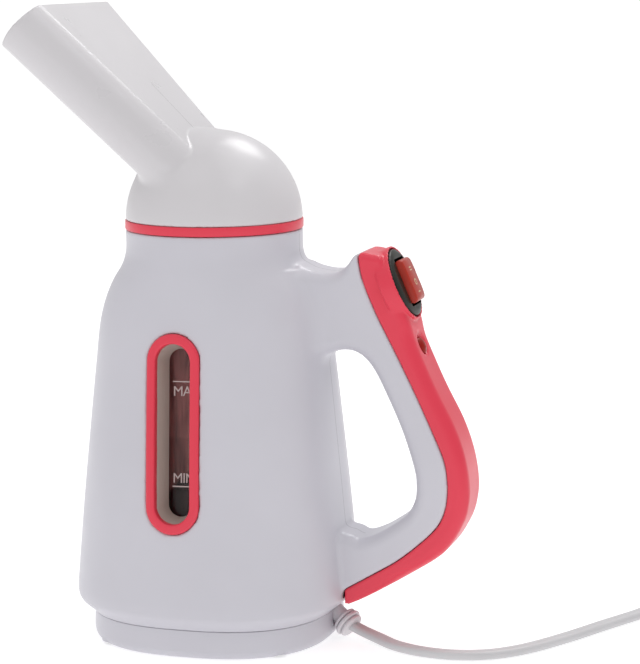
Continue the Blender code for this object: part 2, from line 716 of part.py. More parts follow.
def make_boiler():
    """The boiler's cap, the heater plate with its element, their gasket and the plate's screws."""
    place_of_boiler = at(BOILER_X, 0.0)
    inner = BOILER_RADIUS - 1.8
    cap = turned(
        "boiler_cap",
        [
            (5.6, 88.0), (5.6, 83.6), (12.0, 82.0), (17.4, 78.4), (BOILER_RADIUS, 72.0), (BOILER_RADIUS, 39.8),
            (inner, 39.8), (inner, 71.6), (16.0, 77.0), (11.2, 80.2), (4.0, 81.8), (4.0, 88.0),
        ],
        "black_plastic",
        24,
        place_of_boiler,
    )
    riser = [(7.2, 160.0), (7.2, 84.8), (6.0, 84.8), (6.0, 160.0)]
    turned("steam_riser", riser, "grey_plastic", 16, place_of_boiler)
    for i in range(3):
        angle = math.radians(30.0 + 120.0 * i)
        where = along((BOILER_X, 0.0, 48.6), (math.cos(angle), math.sin(angle), 0.0))
        cut(cap, cylinder("water_inlet", 1.8, 10.0, 30.0, matrix=where, sides=10))
    seal = [(25.4, 41.3), (25.4, 39.7), (21.2, 39.7), (21.2, 41.3)]
    turned("boiler_gasket", seal, "silicone", 24, place_of_boiler)
    plate = cylinder("heater_plate", 32.4, HEATER_LOW, HEATER_TOP, "aluminium", place_of_boiler, 36)
    for side in (-1, 1):
        leg = at(BOILER_X + side * HEATER_LEG, 0.0)
        cut(plate, cylinder("element_hole", 3.4, 30.0, 42.0, matrix=leg, sides=12))
    for x, y in heater_screw_places():
        cut(plate, cylinder("heater_screw_hole", 1.75, 30.0, 42.0, matrix=at(x, y), sides=10))
    legs = [(BOILER_X - HEATER_LEG, 0.0, z) for z in (29.5, 40.0, 52.0, 63.0)]
    bend = [
        (BOILER_X - HEATER_LEG * math.cos(a), 0.0, 65.0 + HEATER_LEG * math.sin(a))
        for a in (math.pi * i / 8 for i in range(9))
    ]
    back = [(2 * BOILER_X - x, y, z) for x, y, z in reversed(legs)]
    tube("heating_element", legs + bend + back, 3.0, "steel")
    for index, (x, y) in enumerate(heater_screw_places(), 1):
        profile = [(0.0, 44.5), (1.3, 43.6), (1.3, 35.7), (2.8, 35.7), (2.8, 34.0), (0.0, 34.0)]
        turned(f"heater_screw_{index}", profile, "steel", 8, at(x, y))


def make_electrics():
    """The thermostat and fuse under the heater plate, the terminal block and the leads."""
    can = cylinder("thermostat", 8.0, 29.8, 35.7, "steel", at(BOILER_X, -17.0), 24)
    for side in (-1, 1):
        join(can, box("blade", (4.8, 0.8, 6.0), (BOILER_X + side * 4.0, -17.0, 27.4)))
    fuse = [(0.0, 7.0), (1.6, 6.4), (2.1, 5.0), (2.1, -5.0), (1.6, -6.4), (0.0, -7.0)]
    turned("thermal_fuse", fuse, "glass", 12, along((BOILER_X, 17.0, 33.4), (1.0, 0.0, 0.0)))
    block = box("terminal_block", (10.0, 24.0, 9.0), (-14.0, 0.0, 7.3), "white_plastic", bevel=0.6)
    for side in (-1, 1):
        where = along((-14.0, side * 6.0, 7.6), (1.0, 0.0, 0.0))
        cut(block, cylinder("wire_way", 2.0, -8.0, 8.0, matrix=where, sides=12))
    for side, name in ((-1, "lead_live"), (1, "lead_neutral")):
        route = [
            (-15.0, side * 6.0, 7.6),
            (-6.0, side * 6.0, 7.8),
            (0.0, side * 7.0, 14.0),
            (BOILER_X + 4.0 * side, side * 9.0, 21.0),
            (BOILER_X + side * HEATER_LEG, side * 2.0, 24.0),
            (BOILER_X + side * HEATER_LEG, 0.0, 29.0),
        ]
        tube(name, smooth(route, 3), 1.1, "red_plastic" if side < 0 else "black_plastic", 1)
    for side, name in ((-1, "lead_switch_feed"), (1, "lead_switch_return")):
        route = [
            (26.0, side * 6.9, 17.0),
            (42.0, side * 6.9, 24.5),
            (56.0, side * 6.9, 33.0),
            (70.0, side * 6.9, 37.6),
            (82.0, side * 6.9, 45.0),
            (92.5, side * 6.9, 56.0),
            (95.5, side * 6.9, 69.0),
            (92.0, side * 6.9, 83.0),
            (84.6, side * 6.9, 100.0),
            (75.8, side * 6.9, 118.0),
            (67.0, side * 6.9, 127.5),
            (57.5, side * 5.0, 130.5),
            (54.0, side * 2.2, 134.5 + 3.0 * side),
        ]
        tube(name, smooth(route, 2), 1.1, "red_plastic" if side < 0 else "black_plastic", 1)


def make_handle_cover():
    """The coloured back of the handle, with the collar round the switch, and the screws that hold it."""
    rounds = [2.0, 3.0, 3.4, 3.0, 2.6, 2.6] + [HANDLE_ROUND] * (len(COVER_BACK_RAIL) - 7) + [3.0]
    cover = handle_solid(
        "handle_cover", COVER_INNER_RAIL, COVER_BACK_RAIL, HANDLE_HALF_WIDTH, SMALL, rounds, "pink_plastic"
    )
    face = turned_to(SWITCH_CENTRE, SWITCH_TILT)
    join(cover, cylinder("collar", COLLAR_RADIUS, -COLLAR_LENGTH, SMALL, matrix=face, sides=40))
    cavity_inner = offset_rail(COVER_INNER_RAIL, -1.5)[1:-1]
    cavity_outer = offset_rail(COVER_BACK_RAIL, -COVER_WALL)[1:-1]
    cavity = handle_solid(
        "cover_cavity",
        cavity_inner,
        cavity_outer,
        HANDLE_HALF_WIDTH - COVER_WALL,
        SMALL,
        [HANDLE_ROUND - COVER_WALL] * len(cavity_outer),
    )
    cut(cover, cavity)
    cut(cover, cylinder("bezel_seat", BEZEL_RADIUS + 0.4, -1.3, 3.0, matrix=face, sides=40))
    cut(cover, cylinder("switch_bore", 13.8, -14.0, 3.0, matrix=face, sides=40))
    lamp = turned_to(LAMP_CENTRE, LAMP_TILT)
    cut(cover, cylinder("lamp_hole", 3.5, -5.0, 3.0, matrix=lamp, sides=16))
    for index, ((x, z), (dx, dz)) in enumerate(COVER_SCREWS, 1):
        where = along((x, 0.0, z), (dx, 0.0, dz))
        join(cover, cylinder("cover_post", 3.6, 6.4, 20.0, matrix=where, sides=12))
        cut(cover, cylinder("cover_pilot", 1.6, 5.0, 15.6, matrix=where, sides=10))
        profile = [
            (0.0, 14.6), (0.8, 13.8), (1.2, 12.6), (1.2, 2.3), (2.9, 2.3), (2.9, 0.9), (2.3, 0.5), (0.9, 0.5),
            (0.9, 1.5), (0.0, 1.5),
        ]
        turned(f"cover_screw_{index}", profile, "steel", 8, where)


def make_switch():
    """The switch's housing with its bezel, the rocker on its pivot, and the terminal blades."""
    face = turned_to(SWITCH_CENTRE, SWITCH_TILT)
    bezel = turned(
        "switch_housing",
        [(0.0, 1.5), (12.6, 1.5), (BEZEL_RADIUS, 0.6), (BEZEL_RADIUS, -0.9), (0.0, -0.9)],
        "black_plastic",
        40,
        face,
    )
    join(bezel, box("switch_case", (21.8, 16.4, 16.6), (0.0, 0.0, -8.5), matrix=face))
    cut(bezel, box("rocker_well", (20.4, 13.6, 12.0), (0.0, 0.0, -3.0), matrix=face))
    cross = face @ Matrix.Translation((0.0, 0.0, ROCKER_PIVOT * MM)) @ Matrix.Rotation(math.pi / 2, 4, "X")
    cut(bezel, cylinder("pivot_hole", 1.5, -7.7, 7.7, matrix=cross, sides=12))
    outline = [
        (-9.3, 0.9), (-9.0, 2.1), (-8.0, 3.0), (-4.0, 3.9), (0.0, 4.2), (4.0, 3.9), (8.0, 3.0), (9.0, 2.1),
        (9.3, 0.9), (6.4, -5.6), (-6.4, -5.6),
    ]
    sides = [[(x, y, z - ROCKER_PIVOT) for x, z in outline] for y in (-6.4, -5.9, 5.9, 6.4)]
    for end in (0, 3):
        sides[end] = [(x * 0.95, y, z * 0.95) for x, y, z in sides[end]]
    rocker = loft("switch_rocker", sides, "red_plastic")
    rocker.matrix_world = face @ Matrix.Translation((0.0, 0.0, ROCKER_PIVOT * MM))
    join(rocker, cylinder("pivot_pin", 1.2, -7.3, 7.3, matrix=cross, sides=12))
    for index, x in enumerate((-6.0, 0.0, 6.0), 1):
        box(f"switch_terminal_{index}", (0.8, 4.8, 7.6), (x, 0.0, -20.9), "brass", face)


def make_indicator():
    """The indicator's lens in the cover, and the neon lamp behind it."""
    where = turned_to(LAMP_CENTRE, LAMP_TILT)
    lens = [(0.0, 0.5), (1.8, 0.2), (3.1, -0.6), (3.1, -2.7), (4.4, -2.7), (4.4, -3.8), (0.0, -3.8)]
    turned("indicator_lens", lens, "lamp_plastic", 20, where)
    bulb = [(0.0, -4.2), (1.3, -4.8), (2.0, -6.2), (2.0, -11.5), (0.0, -12.0)]
    turned("indicator_lamp", bulb, "glass", 12, where)


def make_cord():
    """The gland, the cord's tail inside, the free cord, its coil and tie, and the plug."""
    way = along(CORD_EXIT, cord_direction())
    profile = [(0.0, 14.0)]
    for i in range(4):
        top = 14.0 - 2.8 * i
        radius = 3.7 + 0.28 * i
        profile += [(radius, top), (radius, top - 1.6), (3.2, top - 1.6), (3.2, top - 2.8)]
    profile[-1] = (3.2, 2.2)
    profile += [(3.7, 2.2), (3.7, -5.6), (5.0, -5.6), (5.0, -7.4), (0.0, -7.4)]
    turned("cord_gland", profile, "cord_vinyl", 16, way)
    inside = [way @ Vector((0.0, 0.0, z * MM)) / MM for z in (-8.0, -10.5)]
    tail = [*inside, (36.0, 3.4, 8.4), (30.5, 2.2, 6.1), (24.0, 0.9, 5.6), (16.0, 0.0, 5.8), (6.0, 0.0, 6.4)]
    tube("cord_tail", smooth(tail, 2), 2.4, "cord_vinyl")
    bar = box("cord_clamp", (7.0, 24.0, 2.4), (CLAMP_X, 0.0, 10.3), "grey_plastic", bevel=0.4)
    for index, y in enumerate((-8.5, 8.5), 1):
        cut(bar, cylinder("clamp_hole", 1.6, 8.0, 13.0, matrix=at(CLAMP_X, y), sides=10))
        screw = [(0.0, 13.4), (2.6, 13.4), (2.6, 11.9), (1.15, 11.9), (1.15, 5.0), (0.0, 4.2)]
        turned(f"clamp_screw_{index}", screw, "steel", 8, at(CLAMP_X, y))
    tube("power_cord", smooth(CORD_ROUTE, 3), CORD_WIDTH / 2 - 0.2, "cord_vinyl")
    where = at(*COIL_CENTRE)
    ring = [
        (COIL_OUTER - 1.5, COIL_TOP), (COIL_OUTER, COIL_TOP - 1.5), (COIL_OUTER, COIL_LOW + 1.5),
        (COIL_OUTER - 1.5, COIL_LOW), (COIL_INNER + 1.5, COIL_LOW), (COIL_INNER, COIL_LOW + 1.5),
        (COIL_INNER, COIL_TOP - 1.5), (COIL_INNER + 1.5, COIL_TOP),
    ]
    turned("cord_coil", ring, "cord_vinyl", 32, where)
    make_tie()
    make_plug()


def make_tie():
    """A flat band round one side of the coil."""
    x, y = COIL_CENTRE
    middle = y - (COIL_INNER + COIL_OUTER) / 2
    half_wide = (COIL_OUTER - COIL_INNER) / 2 + 0.5
    low, high = COIL_LOW - 0.35, COIL_TOP + 0.35

    def loop(grow, side):
        return [
            (x + side, middle - half_wide - grow, low - grow),
            (x + side, middle + half_wide + grow, low - grow),
            (x + side, middle + half_wide + grow, high + grow),
            (x + side, middle - half_wide - grow, high + grow),
        ]

    loops = [loop(0.9, -3.0), loop(0.9, 3.0), loop(0.0, 3.0), loop(0.0, -3.0)]
    loft("cord_tie", loops, "black_plastic", cyclic=True)


def plug_ring(y, half_x, half_z):
    """A ring across the plug's body, with its corners cut."""
    x = COIL_CENTRE[0] + COIL_MIDDLE_TURN
    corner = 0.35 * half_z
    spots = [(half_x, half_z - corner), (half_x - corner, half_z)]
    ring = [(x + sx * a, y, PLUG_HEIGHT + sz * b) for sx, sz, a, b in quarter_turns(spots)]
    return ring


def quarter_turns(spots):
    """The two points of one corner, repeated in order round all four."""
    first, second = spots
    return [
        (1, 1, *first), (1, 1, *second), (-1, 1, *second), (-1, 1, *first),
        (-1, -1, *first), (-1, -1, *second), (1, -1, *second), (1, -1, *first),
    ]


def make_plug():
    """The flat two-pin plug that lies on the coil, and the cord's last stretch up to it."""
    cx, cy = COIL_CENTRE
    tail_y = cy - 4.0
    start_height = COIL_TOP + GAP + CORD_WIDTH / 2
    points = []
    for i in range(13):
        angle = math.radians(150.0 - 12.5 * i)
        height = start_height + (PLUG_HEIGHT - start_height) * (i / 12) ** 1.5
        side, along_y = COIL_MIDDLE_TURN * math.cos(angle), COIL_MIDDLE_TURN * math.sin(angle)
        points.append((cx + side, cy + along_y, height))
    points.append((cx + COIL_MIDDLE_TURN, tail_y + GAP, PLUG_HEIGHT))
    tube("cord_end", points, CORD_WIDTH / 2 - 0.2, "cord_vinyl")
    rows = [
        (tail_y, 4.4, 3.6), (tail_y - 9.0, 5.4, 4.4), (tail_y - 13.0, 12.0, 6.2), (tail_y - 20.0, 17.4, 6.85),
        (tail_y - 30.0, 17.4, 6.85), (tail_y - 36.0, 13.2, 6.85),
    ]
    loft("plug_body", [plug_ring(*row) for row in rows], "cord_vinyl")
    for index, side in enumerate((-1, 1), 1):
        root = (cx + COIL_MIDDLE_TURN + side * 9.3, tail_y - 36.0 - GAP, PLUG_HEIGHT)
        where = along(root, (0.0, -1.0, 0.0))
        pin = [(0.0, 19.0), (1.2, 18.6), (2.0, 17.4), (2.0, 0.0), (0.0, 0.0)]
        turned(f"plug_pin_{index}", pin, "brass", 12, where)


def main():
    """Makes every piece."""
    make_body_shell()
    make_base()
    make_neck_ring()
    make_steam_head()
    make_head_plug()
    make_window()
    make_tank()
    make_boiler()
    make_electrics()
    make_handle_cover()
    make_switch()
    make_indicator()
    make_cord()


main()
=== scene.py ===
"""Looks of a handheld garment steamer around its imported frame: fine surfaces, materials, light and camera.

Lengths are in millimetres, and are turned into metres where a mesh is made.
"""

import math

import bmesh
import bpy
import numpy as np
import openvdb
from mathutils import Matrix, Vector


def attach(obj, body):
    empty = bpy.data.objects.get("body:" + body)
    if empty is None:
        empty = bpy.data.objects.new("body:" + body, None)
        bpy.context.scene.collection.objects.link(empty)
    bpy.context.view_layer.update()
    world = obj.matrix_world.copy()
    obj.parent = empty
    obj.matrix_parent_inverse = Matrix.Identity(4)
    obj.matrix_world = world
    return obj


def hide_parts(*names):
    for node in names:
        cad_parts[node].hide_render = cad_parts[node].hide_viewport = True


MM = 0.001
UP = Vector((0.0, 0.0, 1.0))

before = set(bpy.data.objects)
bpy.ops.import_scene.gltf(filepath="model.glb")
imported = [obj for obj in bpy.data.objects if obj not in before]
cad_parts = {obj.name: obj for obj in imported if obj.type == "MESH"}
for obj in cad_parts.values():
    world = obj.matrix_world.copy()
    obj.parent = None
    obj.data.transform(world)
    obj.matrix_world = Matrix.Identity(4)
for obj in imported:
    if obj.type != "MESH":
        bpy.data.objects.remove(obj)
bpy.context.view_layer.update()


# ---- materials

# Places on the materials, in metres: the half width of a parting line, and on the tank's wall the
# heights or distances between which the water line, the rib and the boiler fade.
SEAM_HALF_WIDTH = 0.00016
WATER_LINE = (0.0868, 0.0880)
RIB_X, RIB_EDGE = -0.0012, (0.0007, 0.0013)
BOILER_X, BOILER_Z, BOILER_EDGE = 0.007, 0.056, (0.0185, 0.0205)
BOILER_FOOT = (0.054, 0.066)


def nodes_of(name):
    """A new node material, with its tree and its Principled shader."""
    material = bpy.data.materials.new(name)
    material.use_nodes = True
    tree = material.node_tree
    return material, tree, tree.nodes["Principled BSDF"]


def noise(tree, scale, detail=2.0):
    """A noise texture over the object's own coordinates, in noise cells per metre."""
    where = tree.nodes.new("ShaderNodeTexCoord")
    made = tree.nodes.new("ShaderNodeTexNoise")
    made.inputs["Scale"].default_value = scale
    made.inputs["Detail"].default_value = detail
    tree.links.new(where.outputs["Object"], made.inputs["Vector"])
    return made.outputs["Fac"]


def spread(tree, value, low, high, start=0.3, stop=0.7):
    """value mapped from start..stop to low..high."""
    made = tree.nodes.new("ShaderNodeMapRange")
    made.inputs["From Min"].default_value = start
    made.inputs["From Max"].default_value = stop
    made.inputs["To Min"].default_value = low
    made.inputs["To Max"].default_value = high
    tree.links.new(value, made.inputs["Value"])
    return made.outputs["Result"]


def tint(tree, share, first, second):
    """A colour between two, by share. The first is a colour or another node's output."""
    made = tree.nodes.new("ShaderNodeMix")
    made.data_type = "RGBA"
    if isinstance(first, tuple):
        made.inputs[6].default_value = (*first, 1.0)
    else:
        tree.links.new(first, made.inputs[6])
    made.inputs[7].default_value = (*second, 1.0)
    tree.links.new(share, made.inputs[0])
    return made.outputs[2]


def bump(tree, shader, height, depth):
    """Bump of that depth in metres on a shader."""
    made = tree.nodes.new("ShaderNodeBump")
    made.inputs["Strength"].default_value = 1.0
    made.inputs["Distance"].default_value = depth
    tree.links.new(height, made.inputs["Height"])
    tree.links.new(made.outputs["Normal"], shader.inputs["Normal"])


def plastic(name, colour, roughness, grain=900.0, depth=0.000004, drift=0.04, spec=0.5, seam=None):
    """Moulded plastic with faint drifts of shade and gloss, a fine grain, and a parting line at seam."""
    material, tree, shader = nodes_of(name)
    darker = tuple(c * (1 - drift) for c in colour)
    shade = tint(tree, spread(tree, noise(tree, 22.0, 3.0), 0.0, 1.0), colour, darker)
    if seam:
        shade = parting_line(tree, shade, tuple(c * 0.45 for c in colour), *seam)
    tree.links.new(shade, shader.inputs["Base Color"])
    gloss = spread(tree, noise(tree, 60.0, 4.0), roughness * 0.9, roughness * 1.12)
    tree.links.new(gloss, shader.inputs["Roughness"])
    shader.inputs["Specular IOR Level"].default_value = spec
    bump(tree, shader, noise(tree, grain, 2.0), depth)
    return material


def axes_of(tree):
    """The object's own coordinates, apart."""
    where = tree.nodes.new("ShaderNodeTexCoord")
    apart = tree.nodes.new("ShaderNodeSeparateXYZ")
    tree.links.new(where.outputs["Object"], apart.inputs["Vector"])
    return apart.outputs


def work(tree, operation, first, second=0.0):
    """A math node on two sockets or numbers."""
    made = tree.nodes.new("ShaderNodeMath")
    made.operation = operation
    for socket, value in zip(made.inputs, (first, second)):
        if isinstance(value, float):
            socket.default_value = value
        else:
            tree.links.new(value, socket)
    return made.outputs[0]


def parting_line(tree, shade, dark, start, stop):
    """A hair line in the middle plane, between two places along X, where the mould's halves met."""
    axes = axes_of(tree)
    near = work(tree, "LESS_THAN", work(tree, "ABSOLUTE", axes["Y"]), SEAM_HALF_WIDTH)
    past_start = work(tree, "GREATER_THAN", axes["X"], start)
    before_stop = work(tree, "LESS_THAN", axes["X"], stop)
    inside = work(tree, "MULTIPLY", past_start, before_stop)
    return tint(tree, work(tree, "MULTIPLY", near, inside), shade, dark)


def painted_reflection_streaks(tree, scale):
    """A noise texture drawn out along Z, used for painted streaks of reflection."""
    where = tree.nodes.new("ShaderNodeTexCoord")
    mapping = tree.nodes.new("ShaderNodeMapping")
    mapping.inputs["Scale"].default_value = (1.0, 1.0, 0.05)
    made = tree.nodes.new("ShaderNodeTexNoise")
    made.inputs["Scale"].default_value = scale
    tree.links.new(where.outputs["Object"], mapping.inputs["Vector"])
    tree.links.new(mapping.outputs["Vector"], made.inputs["Vector"])
    return made.outputs["Fac"]


def distance_to_boiler(tree, axes):
    """The distance from the boiler's middle, seen from the front."""
    across = work(tree, "SUBTRACT", axes["X"], BOILER_X)
    rise = work(tree, "SUBTRACT", axes["Z"], BOILER_Z)
    squares = work(tree, "ADD", work(tree, "MULTIPLY", across, across), work(tree, "MULTIPLY", rise, rise))
    return work(tree, "SQRT", squares)


def smoky(name, upper, lower, pale, dark):
    """The tank's tinted wall: paler above the water line and at a rib, dark at the boiler, and streaked with
    painted reflections.
    """
    material, tree, shader = nodes_of(name)
    axes = axes_of(tree)
    shade = tint(tree, spread(tree, axes["Z"], 1.0, 0.0, *WATER_LINE), upper, lower)
    rib = work(tree, "ABSOLUTE", work(tree, "ADD", axes["X"], -RIB_X))
    shade = tint(tree, spread(tree, rib, 0.45, 0.0, *RIB_EDGE), shade, pale)
    boiler = spread(tree, distance_to_boiler(tree, axes), 1.0, 0.0, *BOILER_EDGE)
    below = spread(tree, axes["Z"], 1.0, 0.0, *BOILER_FOOT)
    shade = tint(tree, work(tree, "MAXIMUM", boiler, below), shade, dark)
    # Painted reflection: dark upright streaks mixed into the wall's colour.
    shade = tint(tree, spread(tree, painted_reflection_streaks(tree, 420.0), 0.0, 0.6, 0.42, 0.72), shade, dark)
    tree.links.new(shade, shader.inputs["Base Color"])
    tree.links.new(spread(tree, noise(tree, 80.0, 3.0), 0.3, 0.42), shader.inputs["Roughness"])
    return material


def metal(name, colour, roughness):
    """Plain metal with drifts of shade and fine marks."""
    material, tree, shader = nodes_of(name)
    shader.inputs["Metallic"].default_value = 1.0
    darker = tuple(c * 0.8 for c in colour)
    shade = tint(tree, spread(tree, noise(tree, 90.0, 3.0), 0.0, 1.0), colour, darker)
    tree.links.new(shade, shader.inputs["Base Color"])
    marks = noise(tree, 1400.0)
    tree.links.new(spread(tree, marks, roughness * 0.75, roughness * 1.3), shader.inputs["Roughness"])
    bump(tree, shader, marks, 0.000006)
    return material


def clear(name, colour, roughness, ior=1.49):
    """Clear moulded plastic or glass with a faint uneven gloss."""
    material, tree, shader = nodes_of(name)
    shader.inputs["Base Color"].default_value = (*colour, 1.0)
    shader.inputs["Transmission Weight"].default_value = 1.0
    shader.inputs["IOR"].default_value = ior
    gloss = spread(tree, noise(tree, 120.0, 3.0), roughness * 0.7, roughness * 1.4)
    tree.links.new(gloss, shader.inputs["Roughness"])
    return material


WHITE = plastic("white_plastic", (0.60, 0.588, 0.640), 0.36, spec=0.42)
SHELL = plastic("shell_plastic", (0.60, 0.588, 0.640), 0.36, spec=0.42, seam=(0.034, 0.064))
HEAD = plastic("head_plastic", (0.64, 0.62, 0.64), 0.30, spec=0.5, seam=(-0.0265, -0.0085))
PINK = plastic("pink_plastic", (0.76, 0.046, 0.082), 0.32, spec=0.38)
GREY = plastic("grey_plastic", (0.40, 0.33, 0.31), 0.5)
BLACK = plastic("black_plastic", (0.014, 0.015, 0.011), 0.38, spec=0.3)
SLEEVE = plastic("sleeve_plastic", (0.50, 0.43, 0.385), 0.5)
DARK = plastic("boiler_plastic", (0.022, 0.018, 0.017), 0.45)
ROCKER = plastic("rocker_plastic", (0.42, 0.036, 0.022), 0.3, spec=0.2)
LAMP = plastic("lamp_plastic", (0.30, 0.012, 0.008), 0.3, spec=0.12)
MARK = plastic("mark_paint", (0.62, 0.47, 0.30), 0.5, depth=0.000002)
SCALE_MARK = plastic("scale_paint", (0.62, 0.53, 0.52), 0.5, depth=0.000002)
SILICONE = plastic("silicone", (0.45, 0.12, 0.085), 0.62, grain=400.0)
VINYL = plastic("cord_vinyl", (0.60, 0.595, 0.61), 0.47, grain=500.0, depth=0.00002, drift=0.08)
GLAND = plastic("gland_vinyl", (0.74, 0.71, 0.735), 0.5, grain=500.0, depth=0.00002, drift=0.06)
LEAD_RED = plastic("lead_red", (0.35, 0.03, 0.02), 0.5)
STEEL = metal("zinc_steel", (0.60, 0.60, 0.62), 0.28)
BRASS = metal("brass", (0.70, 0.53, 0.26), 0.26)
ALLOY = metal("die_cast", (0.55, 0.56, 0.57), 0.5)
PANE = clear("smoky_pane", (0.86, 0.74, 0.73), 0.04, ior=1.3)
TANK = smoky(
    "smoky_tank", (0.56, 0.26, 0.25), (0.42, 0.20, 0.19), pale=(0.50, 0.44, 0.37), dark=(0.022, 0.012, 0.011)
)
GLASS = clear("clear_glass", (0.95, 0.9, 0.85), 0.03)


# ---- shapes

def smooth(points, steps=8):
    """Points on a Catmull-Rom curve through the given ones."""
    spots = np.array(points, float)
    ends = np.vstack([2 * spots[0] - spots[1], spots, 2 * spots[-1] - spots[-2]])
    share = np.linspace(0, 1, steps, endpoint=False)[:, None]
    line = []
    for a, b, c, d in zip(ends, ends[1:], ends[2:], ends[3:]):
        squared = 2 * a - 5 * b + 4 * c - d
        cubed = 3 * b - a - 3 * c + d
        line.append(0.5 * (2 * b + (c - a) * share + squared * share**2 + cubed * share**3))
    return np.vstack([*line, spots[-1:]])


def added(name, data):
    """A new object in the scene."""
    obj = bpy.data.objects.new(name, data)
    bpy.context.scene.collection.objects.link(obj)
    return obj


def finished(obj, material, body, *nodes, angle=40.0):
    """Gives a new piece its material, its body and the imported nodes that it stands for."""
    obj.data.shade_smooth()
    if angle:
        obj.data.set_sharp_from_angle(angle=math.radians(angle))
    obj.data.materials.clear()
    obj.data.materials.append(material)
    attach(obj, body)
    if nodes:
        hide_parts(*nodes)
    return obj


def from_faces(name, points, faces):
    """A mesh object from points in millimetres."""
    mesh = bpy.data.meshes.new(name)
    spots = [tuple(float(c) * MM for c in p) for p in points]
    mesh.from_pydata(spots, [], [list(map(int, f)) for f in faces])
    bm = bmesh.new()
    bm.from_mesh(mesh)
    bmesh.ops.recalc_face_normals(bm, faces=bm.faces[:])
    bm.to_mesh(mesh)
    bm.free()
    return added(name, mesh)


def loft(name, rings, cyclic=False):
    """A solid through rings of equally many points."""
    count = len(rings[0])
    points = [p for ring in rings for p in ring]
    faces = []
    rows = len(rings)
    for i in range(rows if cyclic else rows - 1):
        a, b = i * count, ((i + 1) % rows) * count
        faces += [(a + j, a + (j + 1) % count, b + (j + 1) % count, b + j) for j in range(count)]
    if not cyclic:
        faces += [list(range(count)), [(rows - 1) * count + j for j in range(count)]]
    return from_faces(name, points, faces)


def turned(name, profile, steps=96, matrix=None, round_by=0.0, segments=3):
    """A turned solid from a (radius, height) outline, with its corners rounded."""
    outline = rounded(profile, round_by, segments) if round_by else profile
    rings = []
    for i in range(steps):
        c, s = math.cos(2 * math.pi * i / steps), math.sin(2 * math.pi * i / steps)
        rings.append([(r * c, r * s, z) for r, z in outline])
    open_ends = outline[0][0] <= 0
    count = len(outline)
    points = [p for ring in rings for p in ring]
    faces = []
    for i in range(steps):
        a, b = i * count, ((i + 1) % steps) * count
        for j in range(count - 1 if open_ends else count):
            faces.append((a + j, a + (j + 1) % count, b + (j + 1) % count, b + j))
    obj = from_faces(name, points, faces)
    bm = bmesh.new()
    bm.from_mesh(obj.data)
    bmesh.ops.remove_doubles(bm, verts=bm.verts[:], dist=1e-7)
    bmesh.ops.recalc_face_normals(bm, faces=bm.faces[:])
    bm.to_mesh(obj.data)
    bm.free()
    if matrix is not None:
        obj.data.transform(matrix)
    return obj


def rounded(profile, radius, segments=3):
    """A closed outline with each corner off the axis cut round, by at most a third of its sides."""
    line = []
    count = len(profile)
    for i, point in enumerate(profile):
        spot = Vector(point)
        before, after = Vector(profile[i - 1]) - spot, Vector(profile[(i + 1) % count]) - spot
        if point[0] <= 0 or not before.length or not after.length:
            line.append(tuple(spot))
            continue
        reach = min(radius, before.length / 3, after.length / 3)
        start, stop = spot + before.normalized() * reach, spot + after.normalized() * reach
        for k in range(segments + 1):
            t = k / segments
            line.append(tuple(start * (1 - t) ** 2 + spot * 2 * t * (1 - t) + stop * t**2))
    return line


def box(name, size, centre, edge=0.3):
    """A box with rounded edges."""
    bm = bmesh.new()
    bmesh.ops.create_cube(bm, size=1.0)
    bmesh.ops.scale(bm, verts=bm.verts, vec=Vector(size) * MM)
    bmesh.ops.bevel(bm, geom=bm.edges[:], offset=edge * MM, segments=3, affect="EDGES", profile=0.5)
    bmesh.ops.translate(bm, verts=bm.verts, vec=Vector(centre) * MM)
    mesh = bpy.data.meshes.new(name)
    bm.to_mesh(mesh)
    bm.free()
    return added(name, mesh)


def carve(obj, *cutters, operation="DIFFERENCE"):
    """Cuts the cutters out of obj for good, or joins them to it, and removes them."""
    for cutter in cutters:
        modifier = obj.modifiers.new("cut", "BOOLEAN")
        modifier.operation = operation
        modifier.object = cutter
    graph = bpy.context.evaluated_depsgraph_get()
    mesh = bpy.data.meshes.new_from_object(obj.evaluated_get(graph))
    obj.modifiers.clear()
    obj.data = mesh
    for cutter in cutters:
        bpy.data.objects.remove(cutter)
    return obj


def turned_to(centre, tilt):
    """The place of a piece whose own Z is tilted from +Z towards +X."""
    return Matrix.Translation(Vector(centre) * MM) @ Matrix.Rotation(tilt, 4, "Y")


def along(centre, direction):
    """The place of a piece whose own Z lies along a direction."""
    turn = Vector(direction).to_track_quat("Z", "Y").to_matrix().to_4x4()
    return Matrix.Translation(Vector(centre) * MM) @ turn


# ---- fields
# A field is a signed distance, roughly in millimetres and negative inside, on a grid over a box.

class Grid:
    """The sample points of a field, and the mesh of its zero surface."""

    def __init__(self, low, high, cell):
        self.low, self.cell = np.array(low, float), cell
        axes = [np.arange(a, b + cell, cell, dtype=np.float32) for a, b in zip(low, high)]
        self.x, self.y, self.z = np.meshgrid(*axes, indexing="ij", sparse=True)
        self.shape = tuple(len(axis) for axis in axes)

    def mesh(self, name, field):
        field = np.ascontiguousarray(np.broadcast_to(field, self.shape), np.float32)
        grid = openvdb.FloatGrid(3.0)
        grid.copyFromArray(np.clip(field, -3.0, 3.0))
        points, quads = grid.convertToQuads(0.0)
        points = (points * self.cell + self.low) * MM
        mesh = bpy.data.meshes.new(name)
        mesh.vertices.add(len(points))
        mesh.vertices.foreach_set("co", points.astype(np.float32).ravel())
        mesh.loops.add(len(quads) * 4)
        mesh.loops.foreach_set("vertex_index", quads[:, ::-1].astype(np.int32).ravel())
        mesh.polygons.add(len(quads))
        mesh.polygons.foreach_set("loop_start", np.arange(0, len(quads) * 4, 4, dtype=np.int32))
        mesh.update(calc_edges=True)
        mesh.validate()
        if signed_volume(points, quads[:, ::-1]) < 0:
            mesh.flip_normals()
        return added(name, mesh)


def signed_volume(points, quads):
    """Six times the volume inside a closed mesh of quads, negative when its faces point inwards."""
    a, b, c, d = (points[quads[:, i]] for i in range(4))
    return float(np.einsum("ij,ij->i", a, np.cross(b, c) + np.cross(c, d)).sum())


